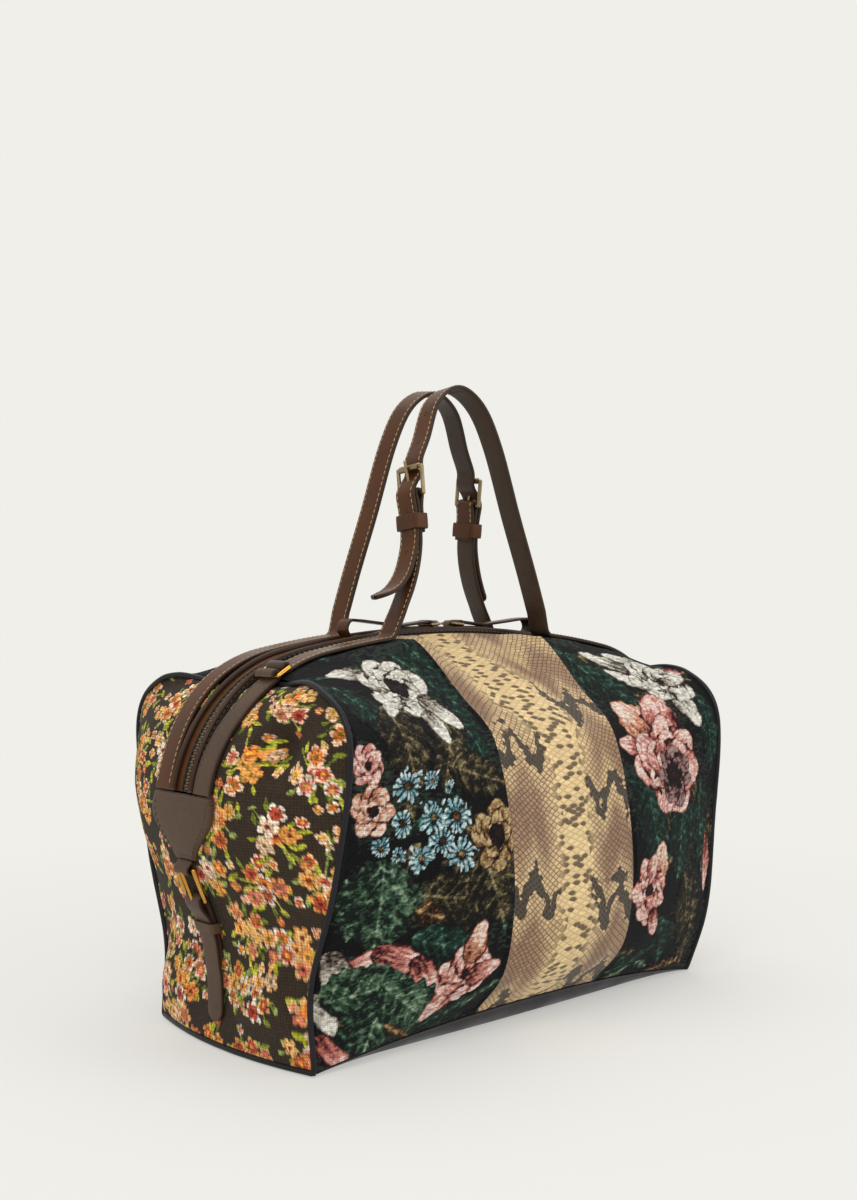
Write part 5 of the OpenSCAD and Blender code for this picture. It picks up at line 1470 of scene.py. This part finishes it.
class BAG_OT_zip(Operator):
    """Zip tape, teeth, facings and leather pulls"""

    bl_idname = "bag.zip"
    bl_label = "Zip"

    def execute(self, context):
        tape, _ = self.strip("zip_tape_strip", -0.9, 0, CHAIN_W, 1.2, "zip_tape", 0.3, 0.0)
        fit(tape, "bag", None, "zip_chain")
        self.teeth()
        roll = 0.45 * FACING_W
        for name, way in (("front", -1), ("back", 1)):
            shift = way * (FACING_OUT - FACING_W / 2)
            facing, _ = self.strip("zip_welt_" + name, -0.5, shift, FACING_W, 3.0, "brown_leather", 1.2, 0.35)
            fit(facing, "bag", "brown_leather", "zip_facing_" + name)
            shift = way * (FACING_OUT - roll / 2)
            welt, f = self.strip("zip_roll_" + name, (1 + FACING_LIP) / 2, shift, roll, 1 + FACING_LIP,
                                 "brown_leather", 2.1, 0.2)
            fit(welt, "bag", "brown_leather")
            row = stitch_row(*f, way * (roll / 2 + 0.1), -0.6, 4, 4)
            fit(stitching("zip_seam_" + name, [row], finish("dark_thread")), "bag")
        for name, way in (("left", 1), ("right", -1)):
            self.pull(name, half_turn(way))
        return {"FINISHED"}

    def strip(self, name, rise, shift, width, thick, look, radius, crown):
        """A strip over the zip from end to end, at a rise over its line and a shift to one side."""
        path, out, side = flat_frame(even(zip_line(rise), 2.0)[0])
        f = path + [0, shift, 0], out, side
        return sweep(name, *f, width, thick, finish(look), radius=radius, crown=crown), f

    def teeth(self):
        """Metal teeth, turn about from either side, each a block with a chamfered top."""
        path, out, side = flat_frame(even(zip_line(0.1), 1.0)[0])
        places = np.arange(2, arc_length(path)[-1] - 2, sizes().tooth_pitch / MM)
        way = np.where(np.arange(len(places)) % 2, 0.5, -0.5)[:, None]
        levels = ((-0.5, 0.8, 1.9), (0.35, 0.8, 1.9), (0.65, 0.5, 1.6))
        corners = ((1, -1), (-1, -1), (-1, 1), (1, 1))
        block = np.array([[sx * kx, sy * ky, h] for h, kx, ky in levels for sx, sy in corners])
        one = join(grid_quads(3, 4, wrap_m=True)[:, ::-1], [[8, 9, 10, 11]])
        p, quads = copies(path, out, side, places, block, one, way)
        q = p[quads[8]]
        if np.cross(q[1] - q[0], q[3] - q[0]) @ out[0] < 0:
            quads = quads[:, ::-1]
        fit(mesh_object("zip_teeth", p, quads, material=finish("zip_metal")), "bag")

    def pull(self, name, turn):
        """A loop of leather folded through the slider's ring, its two layers sewn at the neck."""
        eye, neck, e = -8.0, 0.4 * PULL_LENGTH, PULL_T
        b = -(PIVOT_H - 1 - GAP - 0.5) + e / 2
        l, h = PULL_LENGTH, PULL_HEIGHT
        keys = [(eye - neck + 6, -e / 2 - 0.1), (eye - l * 0.56, b + 1), (eye - l * 0.78, b),
                (eye - l * 0.93, b + 0.9), (eye - l + e / 2, b + h * 0.45), (eye - l * 0.945, b + h * 0.88),
                (eye - l * 0.84, b + h - e), (eye - l * 0.62, b + h * 0.66), (eye - neck + 6, e / 2 + 0.1)]
        g = np.radians(np.linspace(125, -125, 15))
        r = 1.2 + GAP + e / 2
        line = join(curve(keys, 10), vec(eye + r * np.cos(g), r * np.sin(g)))
        line = even(join(line, line[:1]), 1.0)[0][:-1]
        for a, rise in ((np.radians(-3.0), PIVOT_H + CROWN_R), (np.arcsin(SLIDER_X / CROWN_R), CROWN_C)):
            x, z = line.T
            line = vec(x * np.cos(a) + z * np.sin(a), -x * np.sin(a) + z * np.cos(a) + rise)
        f = upright(line), upright(loop_out(line)), np.tile([0.0, 1.0, 0.0], (len(line), 1))
        obj = sweep("pull_leather_" + name, *[v * turn for v in f], PULL_W, e, finish("brown_leather"),
                    closed=True, radius=0.6, crown=0.12)
        fit(obj, name + "_pull", "taupe_leather", "pull_loop_" + name)


class BAG_OT_metal(Operator):
    """Finishes of the metal pieces and of the inner board"""

    bl_idname = "bag.metal"
    bl_label = "Metal"

    def execute(self, context):
        looks = {"shoulder_ring": "gold", "end_buckle": "gold", "end_prong": "gold", "slider": "zip_metal",
                 "pull_ring": "pale_gold", "buckle_frame": "pale_gold", "buckle_roller": "pale_gold",
                 "buckle_prong": "pale_gold", "base_board": "fibre_board"}
        for name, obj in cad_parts.items():
            look = next((v for k, v in looks.items() if name.startswith(k)), None)
            if look:
                obj.data.materials.clear()
                obj.data.materials.append(finish(look))
        return {"FINISHED"}


# Stage; the camera's place in metres, its heading and rise in radians, its lens in millimetres

CAMERA_AT = (-0.76439, -0.82474, 0.31118)
CAMERA_YAW, CAMERA_RISE, CAMERA_LENS = 0.7385, 0.0058, 41.57


class BAG_OT_stage(Operator):
    """Floor, backdrop, soft lights and the camera"""

    bl_idname = "bag.stage"
    bl_label = "Stage"

    def execute(self, context):
        scene = context.scene
        scene.view_settings.view_transform = "Standard"
        self.camera(scene)
        self.floor()
        self.world(scene)
        self.lamp("key_light", (-1.6, -1.5, 2.2), (0, 0, 0.2), 1.9, 34.0)
        self.lamp("fill_light", (1.3, -2.2, 1.3), (0, 0, 0.2), 1.8, 14.0)
        self.lamp("top_light", (0.2, 0.4, 2.6), (0, 0, 0.1), 2.0, 22.0)
        return {"FINISHED"}

    def camera(self, scene):
        """The camera that was fitted to the photo."""
        cam = bpy.data.objects.new("camera", bpy.data.cameras.new("camera"))
        scene.collection.objects.link(cam)
        look = Vector((np.sin(CAMERA_YAW), np.cos(CAMERA_YAW), CAMERA_RISE))
        cam.location = CAMERA_AT
        cam.rotation_euler = look.to_track_quat("-Z", "Y").to_euler()
        cam.data.sensor_width = 36
        cam.data.lens = CAMERA_LENS
        cam.data.clip_start = 0.02
        scene.camera = cam

    def floor(self):
        """A wide floor that fades into the plain backdrop colour away from the bag."""
        paper = tuple(colours().paper)
        u = np.linspace(-6000, 6000, 60)
        p = vec(u[:, None], u[None, :], -0.2)
        m, t, s = material("floor_paper", 0.9, Specular_IOR_Level=0.0)
        s.inputs["Base Color"].default_value = (*paper, 1)
        where = node(t, "ShaderNodeTexCoord").outputs["Object"]
        far = node(t, "ShaderNodeVectorMath", {0: where}, operation="LENGTH").outputs["Value"]
        fade = ramp(t, times(t, far, 0.5), (0.12, 0.5), (0.42, 1.0))
        glow = node(t, "ShaderNodeEmission", {"Color": (*paper, 1), "Strength": 1.0}).outputs[0]
        blend = node(t, "ShaderNodeMixShader", {0: fade, 1: s.outputs[0], 2: glow}).outputs[0]
        t.links.new(blend, t.nodes["Material Output"].inputs["Surface"])
        mesh_object("floor", p, grid_quads(len(u), len(u)), material=m)

    def world(self, scene):
        """Soft even light, seen by camera and mirrors as the backdrop colour."""
        w = bpy.data.worlds.new("studio")
        scene.world = w
        w.use_nodes = True
        t = w.node_tree
        paper = tuple(colours().paper)
        sky = t.nodes["Background"]
        sky.inputs[0].default_value = (1, 1, 1, 1)
        sky.inputs[1].default_value = 0.42
        seen = node(t, "ShaderNodeBackground", {0: (*paper, 1), 1: 1.0}).outputs[0]
        path = node(t, "ShaderNodeLightPath")
        share = math_node(t, "MAXIMUM", path.outputs["Is Camera Ray"], path.outputs["Is Glossy Ray"])
        blend = node(t, "ShaderNodeMixShader", {0: share, 1: sky.outputs[0], 2: seen}).outputs[0]
        t.links.new(blend, t.nodes["World Output"].inputs["Surface"])

    def lamp(self, name, at, towards, size, power):
        """A square soft light turned towards a place."""
        light = bpy.data.lights.new(name, "AREA")
        light.shape = "SQUARE"
        light.size = size
        light.energy = power
        obj = bpy.data.objects.new(name, light)
        obj.location = at
        obj.rotation_euler = (Vector(towards) - Vector(at)).to_track_quat("-Z", "Y").to_euler()
        bpy.context.scene.collection.objects.link(obj)


class BAG_PT_looks(Panel):
    """Steps that dress the bag"""

    bl_label = "Carpet bag"
    bl_idname = "BAG_PT_looks"
    bl_space_type = "VIEW_3D"
    bl_region_type = "UI"
    bl_category = "Carpet bag"

    def draw(self, context):
        for step in STEPS:
            self.layout.operator(step.bl_idname)
        for group in (context.scene.bag_sizes, context.scene.bag_colours):
            for key in group.bl_rna.properties.keys():
                if key not in ("rna_type", "name"):
                    self.layout.prop(group, key)


STEPS = (
    BAG_OT_stage, BAG_OT_flower_panels, BAG_OT_centre_bands, BAG_OT_end_cloths, BAG_OT_base_and_piping,
    BAG_OT_straps, BAG_OT_end_belts, BAG_OT_zip, BAG_OT_metal,
)
CLASSES = (BagSizes, BagColours, *STEPS, BAG_PT_looks)


def register():
    """Adds the steps, the panel and their settings."""
    for c in CLASSES:
        bpy.utils.register_class(c)
    bpy.types.Scene.bag_sizes = PointerProperty(type=BagSizes)
    bpy.types.Scene.bag_colours = PointerProperty(type=BagColours)


def unregister():
    """Takes them out again."""
    del bpy.types.Scene.bag_colours
    del bpy.types.Scene.bag_sizes
    for c in reversed(CLASSES):
        bpy.utils.unregister_class(c)


def main():
    """Dresses the bag step by step."""
    register()
    for name in ("Cube", "Camera", "Light"):
        if name in bpy.data.objects:
            bpy.data.objects.remove(bpy.data.objects[name])
    for step in STEPS:
        group, name = step.bl_idname.split(".")
        getattr(getattr(bpy.ops, group), name)()
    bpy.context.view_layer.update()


if __name__ == "__main__":
    main()
